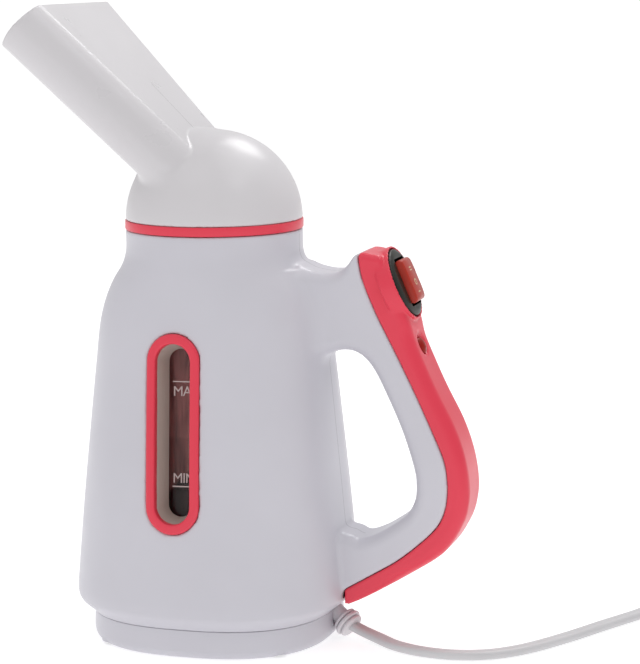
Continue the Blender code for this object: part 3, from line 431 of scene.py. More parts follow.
def both(a, b, radius=0.0):
    """Where both shapes are, with the edge between them rounded. The radius may be a field too."""
    if np.isscalar(radius) and not radius:
        return np.maximum(a, b)
    u, v = np.maximum(a + radius, 0), np.maximum(b + radius, 0)
    return np.minimum(np.maximum(a + radius, b + radius), 0) + np.sqrt(u * u + v * v) - radius


def either(a, b, radius=0.0):
    """Where either shape is, with a fillet between them. The radius may be a field too."""
    if np.isscalar(radius) and not radius:
        return np.minimum(a, b)
    share = np.maximum(radius - np.abs(a - b), 0) / radius
    return np.minimum(a, b) - share * share * radius / 4


def step(value, start, stop):
    """0 before start and 1 after stop, with soft ends."""
    share = np.clip((value - start) / (stop - start), 0, 1)
    return share * share * (3 - 2 * share)


def without(a, b, radius=0.0):
    """The first shape with the second taken away."""
    return both(a, -b, radius)


def outline_distance(line, u, v):
    """Distance from points (u, v) to an open line, without a sign."""
    best = np.full(np.broadcast(u, v).shape, 1e9, np.float32)
    for (ax, ay), (bx, by) in zip(line, line[1:]):
        ex, ey = bx - ax, by - ay
        t = np.clip(((u - ax) * ex + (v - ay) * ey) / (ex * ex + ey * ey + 1e-12), 0, 1)
        best = np.minimum(best, (u - ax - t * ex) ** 2 + (v - ay - t * ey) ** 2)
    return np.sqrt(best)


def inside_outline(line, u, v):
    """True where (u, v) is inside a closed outline."""
    odd = np.zeros(np.broadcast(u, v).shape, bool)
    for (ax, ay), (bx, by) in zip(line, np.roll(line, -1, axis=0)):
        if ay == by:
            continue
        crosses = (ay > v) != (by > v)
        odd ^= crosses & (u < (bx - ax) * (v - ay) / (by - ay) + ax)
    return odd


def side_distance(line, closing, u, v):
    """Signed distance to an open line, negative inside the outline that closing completes."""
    distance = outline_distance(line, u, v)
    inside = inside_outline(np.vstack([line, closing]), u, v)
    return np.where(inside, -distance, distance).astype(np.float32)


# ---- body, handle, head and window
# Each row of the profile is a height, the half widths along X and Y, and the superellipse's power. The
# rails are outlines in the middle plane, from the top down, as (x, z).

BODY_PROFILE = [
    (12.05, 51.0, 49.4, 2.5),
    (13.4, 52.0, 50.1, 2.5),
    (15.2, 54.4, 51.7, 2.5),
    (17.2, 56.6, 53.1, 2.5),
    (20.0, 57.6, 53.6, 2.5),
    (28.0, 57.2, 53.3, 2.5),
    (60.0, 54.3, 50.4, 2.5),
    (90.0, 51.5, 47.0, 2.45),
    (115.0, 49.1, 43.6, 2.4),
    (131.0, 47.5, 41.5, 2.35),
    (141.0, 45.2, 40.1, 2.3),
    (149.0, 42.0, 39.2, 2.2),
    (155.0, 38.4, 38.6, 2.1),
    (160.0, 36.5, 37.9, 2.0),
    (165.0, 34.4, 37.2, 2.0),
    (168.0, 33.2, 36.5, 2.0),
    (170.2, 32.3, 35.5, 2.0),
]
FINGER_RAIL = [
    (40.0, 122.0), (51.5, 121.4), (57.0, 122.6), (61.8, 122.4), (66.3, 120.0), (70.9, 114.4), (76.7, 102.8),
    (81.7, 91.4), (85.2, 81.3), (87.4, 73.2), (87.9, 68.0), (87.6, 63.2), (86.1, 59.0), (83.3, 55.2),
    (76.5, 50.2), (70.1, 46.5), (64.0, 44.6), (59.0, 46.4), (46.0, 48.0),
]
SHELL_RAIL = [
    (40.0, 155.4), (50.8, 153.6), (57.6, 155.4), (64.0, 162.0), (65.2, 155.4), (66.5, 151.0), (71.9, 138.0),
    (80.1, 122.0), (88.4, 105.2), (95.7, 89.2), (99.9, 78.6), (101.2, 69.6), (100.6, 60.8), (97.6, 53.2),
    (91.1, 46.0), (80.7, 37.4), (70.1, 30.8), (62.0, 26.0), (56.6, 22.9), (46.0, 17.5),
]
COVER_INNER_RAIL = [
    (64.9, 174.0), (65.0, 161.0), (65.6, 156.2), (66.9, 150.9), (69.2, 145.2), (72.4, 138.0), (75.9, 131.0),
    (80.5, 122.1), (84.5, 114.1), (88.8, 105.3), (96.1, 89.3), (100.3, 79.0), (101.6, 69.5), (101.0, 60.6),
    (98.0, 52.8), (91.4, 45.6), (80.9, 36.9), (70.3, 30.3), (63.0, 26.0), (58.6, 23.4),
]
COVER_BACK_RAIL = [
    (63.6, 162.2), (66.4, 162.8), (70.4, 162.3), (75.3, 160.6), (80.2, 150.4), (85.4, 138.0), (87.2, 128.3),
    (91.8, 117.2), (96.9, 106.2), (103.6, 93.2), (107.9, 81.2), (109.9, 69.9), (109.6, 61.0), (106.9, 52.0),
    (99.3, 40.6), (84.9, 30.7), (73.2, 23.9), (65.2, 19.5), (59.6, 16.9),
]
WINDOW_X, WINDOW_Y, WINDOW_Z = -3.3, -46.6, 92.0
WINDOW_TILT, WINDOW_LEAN = math.radians(7.2), math.radians(1.2)
TUNNEL_BACK = -10.9
FRAME_WIDTH, FRAME_HEIGHT = 22.4, 80.6
OPENING_WIDTH, OPENING_HEIGHT = 14.8, 72.4
TUNNEL_DRAFT = 2.2
SWITCH_CENTRE = (80.8, 0.0, 149.8)
SWITCH_TILT = math.radians(67.0)
LAMP_CENTRE = (88.9, 0.0, 124.9)
LAMP_TILT = math.radians(62.4)
BODY_LOW, BODY_TOP, NECK_RADIUS = 12.05, 170.2, 36.5
BODY_WALL, COVER_WALL = 2.4, 2.2
ARM_START, HANDLE_HALF_WIDTH, HANDLE_HALF_ROOM = 38.0, 13.0, 10.6
COVER_HALF_ROOM = 10.8
COLLAR_RADIUS, COLLAR_BORE, COLLAR_TOP, COLLAR_FOOT = 15.7, 14.9, 0.6, 6.4
WELL_HALF_LENGTH, WELL_HALF_WIDTH, WELL_DEPTH = 11.6, 8.9, 9.0
LAMP_BORE, LAMP_DISH, LAMP_DISH_RISE = 4.0, 6.0, 3.2


def profile_at(z, column):
    """A column of the body's profile at heights z, on a smooth curve."""
    line = smooth([(row[0], row[column]) for row in BODY_PROFILE], 12)
    return np.interp(z, line[:, 0], line[:, 1]).astype(np.float32)


def body_distance(grid):
    """Distance to the body's side wall."""
    z = grid.z.ravel()
    half_x, half_y, power = (profile_at(z, i)[None, None, :] for i in (1, 2, 3))
    level = (np.abs(grid.x / half_x) ** power + np.abs(grid.y / half_y) ** power) ** (1 / power)
    level = np.maximum(level, 1e-3)
    slope = np.gradient(half_x.ravel(), z)[None, None, :]
    radius = np.sqrt(grid.x**2 + grid.y**2)
    return radius * (1 - 1 / level) / np.sqrt(1 + slope**2)


def window_coordinates(grid):
    """Across, up and outward distances from the middle of the window's face."""
    c, s = math.cos(WINDOW_TILT), math.sin(WINDOW_TILT)
    side, dy, dz = grid.x - WINDOW_X, grid.y - WINDOW_Y, grid.z - WINDOW_Z
    rise = dz * c + dy * s
    lean_c, lean_s = math.cos(WINDOW_LEAN), math.sin(WINDOW_LEAN)
    return side * lean_c + rise * lean_s, rise * lean_c - side * lean_s, dz * s - dy * c


def stadium(u, v, width, height):
    """Distance to a stadium outline."""
    return np.sqrt(u * u + np.maximum(np.abs(v) - (height - width) / 2, 0) ** 2) - width / 2


def make_body():
    """The body moulding with its handle arms, hollow, and with the window's hole."""
    grid = Grid((-59.0, -55.0, 11.0), (103.0, 55.0, 171.6), 0.75)
    neck = np.maximum(np.sqrt(grid.x**2 + grid.y**2) - NECK_RADIUS, 150.0 - grid.z)
    wall = either(body_distance(grid), neck, 1.4)
    side = (grid.x[:, :, 0], grid.z[0, 0, :][None, :])
    gap = side_distance(smooth(FINGER_RAIL), [(40.0, 48.0), (40.0, 122.0)], *side)[:, None, :]
    split = side_distance(shell_line(), [(30.0, 17.5), (30.0, 155.4)], *side)[:, None, :] - 0.3
    width = np.abs(grid.y) - HANDLE_HALF_WIDTH
    sides = both(-gap, width, 4.8)
    thin = np.maximum(step(grid.x, 57.0, 63.0), step(grid.z, 60.0, 50.0))
    bar = both(sides, both(split, width, 4.5)) * (1 - thin) + both(sides, split, 0.4) * thin
    fillet = 2.5 + 4.5 * step(grid.z, 80.0, 110.0)
    outer = either(wall, np.maximum(bar, ARM_START - grid.x), fillet)
    outer = both(outer, BODY_LOW - grid.z)
    outer = both(outer, grid.z - BODY_TOP, 0.6)
    arm_top = np.vstack([smooth(SHELL_RAIL[:4]), [(80.0, 178.0)]])
    roof = side_distance(arm_top, [(80.0, 20.0), (40.0, 20.0)], *side)[:, None, :]
    channel = both(-gap + BODY_WALL, np.abs(grid.y) - HANDLE_HALF_ROOM)
    channel = both(channel, np.maximum(split + BODY_WALL - 9.0 * thin, ARM_START - grid.x))
    channel = np.maximum(channel, roof + BODY_WALL)
    shell = without(without(outer, wall + BODY_WALL), channel)
    across, rise, out = window_coordinates(grid)
    hole = np.maximum(stadium(across, rise, FRAME_WIDTH + 0.2, FRAME_HEIGHT + 0.2), np.abs(out) - 12.0)
    shell = without(shell, hole, 0.3)
    return finished(grid.mesh("body_moulding", shell), SHELL, "body", "body_shell", angle=0)


def shell_line():
    """The joint between shell and cover, with the arm's upper edge before it."""
    start = smooth(SHELL_RAIL[:4])
    rest = smooth(SHELL_RAIL[3:])
    return np.vstack([start, rest[1:]])


def local_axes(grid, place):
    """The grid's points in the coordinates of a place, in millimetres."""
    inverse = np.linalg.inv(np.array(place))
    return [a * grid.x + b * grid.y + c * grid.z + d / MM for a, b, c, d in inverse[:3]]


def make_cover():
    """The coloured back of the handle, with the collar that holds the switch."""
    grid = Grid((57.0, -17.5, 15.5), (112.5, 17.5, 166.0), 0.5)
    side = (grid.x[:, :, 0], grid.z[0, 0, :][None, :])
    joint = side_distance(smooth(COVER_INNER_RAIL), [(40.0, 23.0), (40.0, 172.0)], *side)[:, None, :]
    outer = side_distance(smooth(COVER_BACK_RAIL), [(40.0, 23.0), (40.0, 160.0)], *side)[:, None, :]
    u, v, w = local_axes(grid, turned_to(SWITCH_CENTRE, SWITCH_TILT))
    edge = 5.0 - 2.5 * step(grid.z, 148.0, 156.0) - 2.5 * step(grid.z, 30.0, 22.0)
    crown = both(outer, np.abs(grid.y) - HANDLE_HALF_WIDTH, edge)
    crown = both(crown, np.where(grid.z > 118.0, w + 1.4, -20.0), 1.0)
    radius = np.sqrt(u * u + v * v)
    collar = both(radius - COLLAR_RADIUS, np.maximum(w - COLLAR_TOP, -w - COLLAR_FOOT), 0.8)
    crown = either(crown, np.where(w > -14.0, collar, 20.0), 0.7)
    solid = both(crown, -joint, 0.5)
    solid = both(solid, np.maximum(grid.z - 165.0, 58.4 - grid.x), 0.3)
    cavity = np.maximum(outer + COVER_WALL, np.abs(grid.y) - COVER_HALF_ROOM)
    cavity = np.maximum(cavity, np.maximum(grid.z - 153.0, 66.0 - grid.x))
    solid = without(solid, cavity)
    solid = without(solid, np.maximum(radius - COLLAR_BORE, -1.3 - w), 0.5)
    well = np.maximum(np.abs(u) - WELL_HALF_LENGTH, np.abs(v) - WELL_HALF_WIDTH)
    solid = without(solid, np.maximum(well, -WELL_DEPTH - w))
    lu, lv, lw = local_axes(grid, turned_to(LAMP_CENTRE, LAMP_TILT))
    dish = np.sqrt(lu**2 + lv**2 + (lw - LAMP_DISH_RISE) ** 2) - LAMP_DISH
    solid = without(solid, dish, 0.8)
    solid = without(solid, np.maximum(np.sqrt(lu**2 + lv**2) - LAMP_BORE, np.abs(lw) - 6.0))
    return finished(grid.mesh("handle_back", solid), PINK, "body", "handle_cover", angle=0)


HEAD_LOW, HEAD_RADIUS = 174.3, 36.5
DOME_WALL, DUCT_WALL = 2.2, 2.0
DUCT_CENTRE, DUCT_HALF_HEIGHT = 131.6, 11.8
DUCT_MOUTH, DUCT_ROOT = 228.0, 156.0
MOUTH_HALF_WIDTH, ROOT_HALF_WIDTH, DUCT_BULGE = 38.0, 25.0, 7.5


def duct_distance(s, over, y, grow):
    """Distance to the nozzle's duct, made larger by grow all round."""
    half = DUCT_HALF_HEIGHT + grow
    share = (s - DUCT_ROOT) / (DUCT_MOUTH - DUCT_ROOT)
    flat = ROOT_HALF_WIDTH + share * (MOUTH_HALF_WIDTH - ROOT_HALF_WIDTH) + grow
    bulge = DUCT_BULGE * (1 - np.minimum((over / DUCT_HALF_HEIGHT) ** 2, 2.0))
    sides = (np.abs(y) - flat - bulge) * 0.86
    return both(np.abs(over) - half, sides, 2.2)


def make_head():
    """The steam head in one shell: a dome, swollen where it meets the flat flared duct."""
    grid = Grid((-79.5, -48.0, 173.0), (39.0, 48.0, 265.0), 0.7)
    x, y, z = grid.x, grid.y, grid.z
    ball = np.sqrt(x**2 + y**2 + (z - HEAD_LOW) ** 2)
    swell = 1.35 * step(x, 4.0, -8.0) * step(z, 190.0, 202.0)
    dome = ball - HEAD_RADIUS - swell
    slope = math.sqrt(0.5)
    s, over = (z - x) * slope, (x + z) * slope - DUCT_CENTRE
    duct = both(duct_distance(s, over, y, 0.0), np.maximum(s - DUCT_MOUTH, 134.0 - s), 0.5)
    solid = either(dome, duct, 0.5 + 3.5 * step(over + DUCT_CENTRE, 136.0, 128.0))
    solid = both(solid, HEAD_LOW - z, 0.4)
    room = both(duct_distance(s, over, y, -DUCT_WALL), 140.0 - s)
    inside = np.minimum(ball - HEAD_RADIUS + DOME_WALL, room)
    shell = without(solid, inside, 0.5)
    return finished(grid.mesh("steam_head", shell), HEAD, "head", "nozzle_head", angle=0)


def make_frame():
    """The window's raised frame, which follows the body's wall."""
    grid = Grid((-15.0, -56.0, 49.0), (11.0, -36.0, 134.5), 0.4)
    across, rise, out = window_coordinates(grid)
    wall = body_distance(grid)
    opening = stadium(across, rise, OPENING_WIDTH, OPENING_HEIGHT)
    ring = both(stadium(across, rise, FRAME_WIDTH, FRAME_HEIGHT), -opening, 0.6)
    ring = both(ring, wall - 1.1, 0.9)
    ring = np.maximum(ring, -out - 3.2)
    return finished(grid.mesh("window_surround", ring), PINK, "body", "window_frame", angle=0)


def window_place(across, rise, depth):
    """The point that far across, up and out from the middle of the window's face."""
    up = Vector((0.0, math.sin(WINDOW_TILT), math.cos(WINDOW_TILT)))
    out = Vector((0.0, -math.cos(WINDOW_TILT), math.sin(WINDOW_TILT)))
    side = Vector((1.0, 0.0, 0.0))
    lean_c, lean_s = math.cos(WINDOW_LEAN), math.sin(WINDOW_LEAN)
    middle = Vector((WINDOW_X, WINDOW_Y, WINDOW_Z))
    leant_side, leant_up = side * lean_c + up * lean_s, up * lean_c - side * lean_s
    return middle + leant_side * across + leant_up * rise + out * depth


def window_ring(width, height, depth, sides=24):
    """A stadium parallel to the window's face."""
    radius = width / 2
    ring = []
    for end in (1, -1):
        for i in range(sides + 1):
            angle = math.pi * i / sides + (0 if end == 1 else math.pi)
            level = end * (height / 2 - radius) + radius * math.sin(angle)
            ring.append(window_place(radius * math.cos(angle), level, depth))
    return ring


LEVELS = (("MAX", 14.9, 20.7), ("MIN", -20.3, -21.8))
LEVEL_LEFT, LEVEL_RIGHT, LEVEL_HALF_LINE = -3.7, 5.1, 0.25


def make_window():
    """The tunnel behind the frame, the pane, and the level marks on it."""
    wide, tall = OPENING_WIDTH + 3.4, OPENING_HEIGHT + 3.4
    tunnel = [
        window_ring(wide, tall, TUNNEL_BACK),
        window_ring(wide, tall, -2.8),
        window_ring(OPENING_WIDTH + 0.2, OPENING_HEIGHT + 0.2, -2.6),
        window_ring(OPENING_WIDTH - 2 * TUNNEL_DRAFT, OPENING_HEIGHT - 2 * TUNNEL_DRAFT, TUNNEL_BACK),
    ]
    finished(loft("window_sleeve", tunnel, cyclic=True), SLEEVE, "body", "window_tunnel", angle=30)
    front = TUNNEL_BACK - 0.3
    pane = loft("water_pane", [window_ring(wide, tall, front - 1.8), window_ring(wide, tall, front)])
    finished(pane, PANE, "body", "window_pane", angle=30)
    for word, foot, line in LEVELS:
        level_word(word, foot, front + 0.02)
        low, high = line - LEVEL_HALF_LINE, line + LEVEL_HALF_LINE
        corners = [(LEVEL_LEFT, low), (LEVEL_RIGHT, low), (LEVEL_RIGHT, high), (LEVEL_LEFT, high)]
        rings = [[window_place(a, b, depth) for a, b in corners] for depth in (front, front + 0.12)]
        finished(loft(f"level_line_{word.lower()}", rings), SCALE_MARK, "body", angle=30)


def level_word(word, foot, depth):
    """A generic level word on the pane, with its foot at that height."""
    text = bpy.data.curves.new(f"level_{word.lower()}", "FONT")
    text.body = word
    text.size = 5.7 * MM
    text.extrude = 0.05 * MM
    text.space_character = 0.92
    maker = added("maker", text)
    mesh = bpy.data.meshes.new_from_object(maker.evaluated_get(bpy.context.evaluated_depsgraph_get()))
    bpy.data.objects.remove(maker)
    start = window_place(LEVEL_LEFT, foot, depth)
    right = window_place(LEVEL_LEFT + 1.0, foot, depth) - start
    above = window_place(LEVEL_LEFT, foot + 1.0, depth) - start
    turn = Matrix((right, above, right.cross(above))).transposed().to_4x4()
    mesh.transform(Matrix.Translation(start * MM) @ turn)
    finished(added(f"level_{word.lower()}", mesh), SCALE_MARK, "body", angle=30)


# ---- neck, plug and seals

LUG_HEIGHT, HEAD_RISE, HEAD_TURN = 169.0, 13.0, math.radians(90.0)
LUG_HALF_ANGLE = math.radians(10.0)
PLUG_RADIUS, PLUG_LOW, SLEEVE_RADIUS = 30.1, 161.6, 30.6
RING_LOW, RING_TOP = 170.45, 174.2


def helical_band(name, inner, outer, half_height, start, stop, turn, steps=24):
    """A band that climbs with the head's thread."""
    rings = []
    for i in range(steps + 1):
        angle = start + (stop - start) * i / steps
        middle = LUG_HEIGHT + HEAD_RISE * angle / HEAD_TURN
        c, s = math.cos(angle + turn), math.sin(angle + turn)
        corners = [(inner, -half_height), (outer, -half_height), (outer, half_height), (inner, half_height)]
        rings.append([(r * c, r * s, middle + z) for r, z in corners])
    return loft(name, rings)


def make_neck():
    """The coloured ring with its slots, the head's plug with its lugs, and the O-ring."""
    band = [
        (36.8, RING_TOP), (36.8, RING_LOW), (33.6, RING_LOW), (33.6, 160.6), (SLEEVE_RADIUS, 160.6),
        (SLEEVE_RADIUS, RING_TOP),
    ]
    slot_start, slot_stop = -LUG_HALF_ANGLE - math.radians(1.6), math.radians(64.0)
    ring = turned("neck_band", band, 128, round_by=0.5)
    slots = [helical_band("slot", 30.0, 32.8, 1.7, slot_start, slot_stop, math.pi * k) for k in (0, 1)]
    finished(carve(ring, *slots), PINK, "body", "neck_ring", angle=30)
    outline = [
        (6.6, 184.0), (6.6, 178.0), (33.0, 178.0), (33.0, HEAD_LOW + 0.1), (PLUG_RADIUS, HEAD_LOW + 0.1),
        (PLUG_RADIUS, 166.2), (28.2, 166.2), (28.2, 163.2), (PLUG_RADIUS, 163.2), (PLUG_RADIUS, PLUG_LOW),
        (25.8, PLUG_LOW), (25.8, 175.6), (4.6, 175.6), (4.6, 184.0),
    ]
    plug = turned("threaded_plug", outline, 96, round_by=0.3, segments=2)
    lugs = [
        helical_band("lug_piece", 29.4, 32.3, 1.2, -LUG_HALF_ANGLE, LUG_HALF_ANGLE, math.pi * k, 8)
        for k in (0, 1)
    ]
    finished(carve(plug, *lugs, operation="UNION"), WHITE, "head", "head_plug", angle=30)
    around = np.linspace(0, 2 * math.pi, 16, False)
    circle = [(29.3 + 0.95 * math.cos(a), 164.7 + 0.95 * math.sin(a)) for a in around]
    finished(turned("o_ring", circle, 96), SILICONE, "head_ring", "head_seal", angle=0)


# ---- base

CAP_HALF_X, CAP_HALF_Y = 50.8, 49.2
CORD_EXIT = (50.8, 0.0, 7.8)
CORD_YAW, CORD_DIP = math.radians(-20.0), math.radians(14.0)
GLAND_CENTRE = (57.0, -2.7, 6.5)
GLAND_YAW, GLAND_DIP = math.radians(-20.0), math.radians(33.0)
SCREW_PLACES = [(sx * 35.5, sy * 33.5) for sx in (1, -1) for sy in (1, -1)]
# The plinth's outline: heights with how far the wall stands out from its half widths, up the outside and
# down the inside.
PLINTH_OUTSIDE = [
    (0.0, -3.0), (0.2, -2.3), (0.5, -1.7), (1.0, -1.15), (1.7, -0.65), (2.6, -0.25), (3.6, -0.05), (4.6, 0.0),
    (11.8, 0.0), (12.0, -0.15),
]
PLINTH_INSIDE = [(12.0, -1.9), (11.7, -2.2), (2.9, -2.2), (2.4, -2.8)]


def dipping(yaw, dip):
    """The direction at that yaw from +X, dipping below level."""
    return math.cos(dip) * math.cos(yaw), math.cos(dip) * math.sin(yaw), -math.sin(dip)


def oval(z, half_x, half_y, power, sides=160):
    """A level ring on a superellipse, evenly spaced by angle."""
    ring = []
    for i in range(sides):
        angle = 2 * math.pi * i / sides
        c, s = math.cos(angle), math.sin(angle)
        radius = (abs(c / half_x) ** power + abs(s / half_y) ** power) ** (-1 / power)
        ring.append((radius * c, radius * s, z))
    return ring


def make_base():
    """The plinth under the body, with its screw posts and the hole for the cord's gland."""
    outline = PLINTH_OUTSIDE + PLINTH_INSIDE
    cap = loft("plinth", [oval(z, CAP_HALF_X + d, CAP_HALF_Y + d, 2.5) for z, d in outline])
    places = [Matrix.Translation((x * MM, y * MM, 0)) for x, y in SCREW_PLACES]
    for place in places:
        post = turned("post", [(0, 11.9), (4.8, 11.9), (4.8, 1.2), (0, 1.2)], 32, place)
        carve(cap, post, operation="UNION")
    cutters = []
    for place in places:
        cutters.append(turned("seat", [(0, 7.6), (3.5, 7.6), (3.5, -1.0), (0, -1.0)], 48, place))
        cutters.append(turned("way", [(0, 13.0), (1.75, 13.0), (1.75, 5.0), (0, 5.0)], 32, place))
    way_out = along(CORD_EXIT, dipping(CORD_YAW, CORD_DIP))
    cutters.append(turned("gland_hole", [(0, 6.0), (4.0, 6.0), (4.0, -6.0), (0, -6.0)], 48, way_out))
    cutters.append(box("gland_slot", (4.0, 8.0, 8.0), (50.0, 0.0, 12.0), edge=0.01))
    finished(carve(cap, *cutters), WHITE, "body", "base_cap", angle=30)


def make_screw(name, node, place, head_low, length):
    """A pan-head screw with a cross recess."""
    tip = head_low + length
    outline = [
        (0.0, tip), (0.9, tip - 1.0), (1.3, tip - 2.4), (1.3, head_low + 2.0),
        (2.9, head_low + 2.0), (2.9, head_low + 0.7), (2.3, head_low + 0.1), (0.0, head_low),
    ]
    screw = turned(name, outline, 32)
    arms = [box("arm", size, (0, 0, head_low), edge=0.05) for size in ((3.0, 0.7, 2.2), (0.7, 3.0, 2.2))]
    carve(screw, *arms)
    screw.data.transform(place)
    finished(screw, STEEL, "body", node, angle=30)


COVER_SCREWS = [((84.2, 86.8), (0.92, 0.39)), ((73.3, 48.3), (0.51, -0.86))]


def make_screws():
    """The four screws of the base and the two that hold the handle's cover."""
    for number, (x, y) in enumerate(SCREW_PLACES, 1):
        place = Matrix.Translation((x * MM, y * MM, 0))
        make_screw(f"base_pan_screw_{number}", f"base_screw_{number}", place, 5.3, 16.0)
    for number, ((x, z), (way_x, way_z)) in enumerate(COVER_SCREWS, 1):
        place = along((x, 0.0, z), (way_x, 0.0, way_z))
        make_screw(f"cover_pan_screw_{number}", f"cover_screw_{number}", place, 0.4, 13.6)


# ---- switch and lamp

# The rocker's side view about its pivot, from its left foot over the top, and how much its outline
# shrinks at each place across its width.
ROCKER_HALF_TOP = [(-9.2, 3.9), (-8.9, 5.0), (-7.7, 5.8), (-4.0, 6.05), (0.0, 6.0)]
ROCKER_TOP = ROCKER_HALF_TOP + [(-x, z) for x, z in reversed(ROCKER_HALF_TOP[:-1])]
ROCKER_FOOT = [(6.4, -4.1), (-6.4, -4.1)]
ROCKER_SECTIONS = ((-6.4, -0.55), (-6.22, -0.2), (-5.8, 0.0), (5.8, 0.0), (6.22, -0.2), (6.4, -0.55))


def make_switch():
    """The bezel and the rocker with its generic marks."""
    face = turned_to(SWITCH_CENTRE, SWITCH_TILT)
    outline = [(0.0, 1.5), (12.3, 1.5), (14.2, 0.7), (14.5, -0.9), (0.0, -0.9)]
    bezel = turned("switch_bezel", outline, 96, round_by=0.7, segments=4)
    case = box("case", (21.8, 16.4, 16.6), (0.0, 0.0, -8.5), edge=0.5)
    carve(bezel, case, operation="UNION")
    well = box("well", (20.4, 13.6, 14.0), (0.0, 0.0, -2.0), edge=0.6)
    carve(bezel, well)
    bezel.data.transform(face)
    finished(bezel, BLACK, "body", "switch_housing", angle=30)
    pivot = face @ Matrix.Translation((0.0, 0.0, -1.5 * MM))
    rings = []
    for y, grow in ROCKER_SECTIONS:
        ring = []
        for x, z in [*smooth(ROCKER_TOP, 4), *ROCKER_FOOT]:
            reach = math.hypot(x, z)
            ring.append((x * (1 + grow / reach), y, z * (1 + grow / reach)))
        rings.append(ring)
    rocker = loft("rocker_key", rings)
    rocker.data.transform(pivot)
    finished(rocker, ROCKER, "rocker", "switch_rocker", angle=50)
    make_marks(pivot)


def make_marks(pivot):
    """The rocker's marks: two strokes at the top, a ring in the middle and one stroke at the bottom."""
    stroke = (0.5, 2.6, 0.3)
    ring = [(1.35, 6.12), (1.35, 5.8), (0.9, 5.8), (0.9, 6.12)]
    marks = [
        box("mark_two_a", stroke, (-4.9, 0.0, 5.92), edge=0.08),
        box("mark_two_b", stroke, (-3.8, 0.0, 5.96), edge=0.08),
        turned("mark_ring", ring, 40, Matrix.Translation((1.4 * MM, 0.0, 0.0))),
        box("mark_one", stroke, (5.6, 0.0, 5.93), edge=0.08),
    ]
    for mark in marks:
        mark.data.transform(pivot)
        finished(mark, MARK, "rocker", angle=30)


def make_lamp():
    """The indicator's lens."""
    where = turned_to(LAMP_CENTRE, LAMP_TILT)
    lens = [
        (0.0, 0.4), (1.6, 0.25), (2.9, -0.3), (3.65, -1.2), (3.65, -2.7), (4.4, -2.7), (4.4, -3.8),
        (0.0, -3.8),
    ]
    finished(turned("lamp_lens", lens, 64, where), LAMP, "body", "indicator_lens", angle=40)


# ---- cord

# The loose stretch is a route of points on the centre line. The coil is wound by a loop, over rows of
# turns made, radius and height.
CORD_ROUTE = [
    (56.6, -2.5, 6.7), (59.6, -3.3, 5.4), (65.2, -5.2, 3.7), (71.5, -8.4, 2.6), (80.5, -14.8, 1.95),
    (92.0, -19.9, 1.9), (106.0, -21.3, 1.9), (120.5, -16.6, 1.9), (133.0, -5.0, 1.9), (145.5, 14.0, 1.9),
    (157.0, 35.0, 1.9), (166.4, 51.5, 1.9), (170.3, 58.9, 1.9),
]
COIL_CENTRE = (219.5, 72.0)
COIL_START, WHOLE_TURNS, STEPS_PER_TURN = math.radians(187.9), 7.0, 40
COIL_ROWS = [
    (0.00, 46.8, 1.9), (0.08, 43.4, 1.9), (0.20, 40.6, 1.9), (0.90, 40.5, 2.3), (1.10, 40.5, 6.2),
    (1.90, 40.5, 6.5), (2.10, 40.5, 10.6), (2.90, 40.5, 10.8), (3.10, 34.3, 10.8), (4.00, 34.3, 10.2),
    (4.30, 34.3, 6.2), (5.10, 34.3, 6.0), (5.35, 28.1, 4.0), (6.10, 28.1, 5.2), (6.35, 28.1, 9.4),
    (7.00, 28.1, 10.4), (7.30, 28.2, 14.6), (7.55, 28.2, 17.2),
]
END_RADIUS, END_HEIGHT, PLUG_HEIGHT = 28.2, 17.2, 22.4
CORD_HALF_WIDTH, CORD_HALF_HEIGHT = 3.1, 1.9


def cord_path():
    """The cord's centre line from the gland, through the coil, to the plug."""
    free = smooth(CORD_ROUTE, 6)
    rows = np.array(COIL_ROWS)
    cx, cy = COIL_CENTRE
    last = COIL_START / (2 * math.pi)
    turns = np.arange(0.0, WHOLE_TURNS + last, 1 / STEPS_PER_TURN)
    radius = np.interp(turns, rows[:, 0], rows[:, 1])
    height = np.interp(turns, rows[:, 0], rows[:, 2])
    kernel = np.ones(5) / 5
    for values in (radius, height):
        values[2:-2] = np.convolve(values, kernel, "valid")
    climb = turns > WHOLE_TURNS
    height[climb] += np.clip((turns[climb] - 7.25) / 0.27, 0, 1) ** 2 * (PLUG_HEIGHT - END_HEIGHT)
    angle = COIL_START - 2 * math.pi * turns
    wound = np.column_stack([cx + radius * np.cos(angle), cy + radius * np.sin(angle), height])
    end = [(cx + END_RADIUS, cy - 1.5, PLUG_HEIGHT), (cx + END_RADIUS, cy - 3.6, PLUG_HEIGHT)]
    return np.vstack([free, wound, end])


def swollen(value, power):
    """A power of a number that keeps the number's sign."""
    return math.copysign(abs(value) ** power, value)


def cord_section(sides=32):
    """The flat twin lead's outline, with a shallow groove along each face."""
    ring = []
    for i in range(sides):
        angle = 2 * math.pi * i / sides
        across = CORD_HALF_WIDTH * swollen(math.cos(angle), 0.75)
        rise = CORD_HALF_HEIGHT * swollen(math.sin(angle), 0.8)
        groove = 1 - 0.34 * math.exp(-((across / 0.75) ** 2))
        ring.append((across, rise * groove))
    return ring


def make_cord():
    """The flat twin lead as one solid along its path, with the pieces that are on it."""
    path = cord_path()
    steps = np.linalg.norm(np.diff(path, axis=0), axis=1)
    path = path[np.concatenate([[True], steps > 0.05])]
    section = cord_section()
    rings = []
    for i, point in enumerate(path):
        way = Vector(path[min(i + 1, len(path) - 1)] - path[max(i - 1, 0)]).normalized()
        across = way.cross(UP).normalized()
        rise = across.cross(way).normalized()
        rings.append([Vector(point) + across * a + rise * b for a, b in section])
    cord = loft("mains_cord", rings)
    finished(cord, VINYL, "body", "power_cord", "cord_coil", "cord_end", angle=0)
    pieces = make_plug() + [make_tie()]
    gland = make_gland()


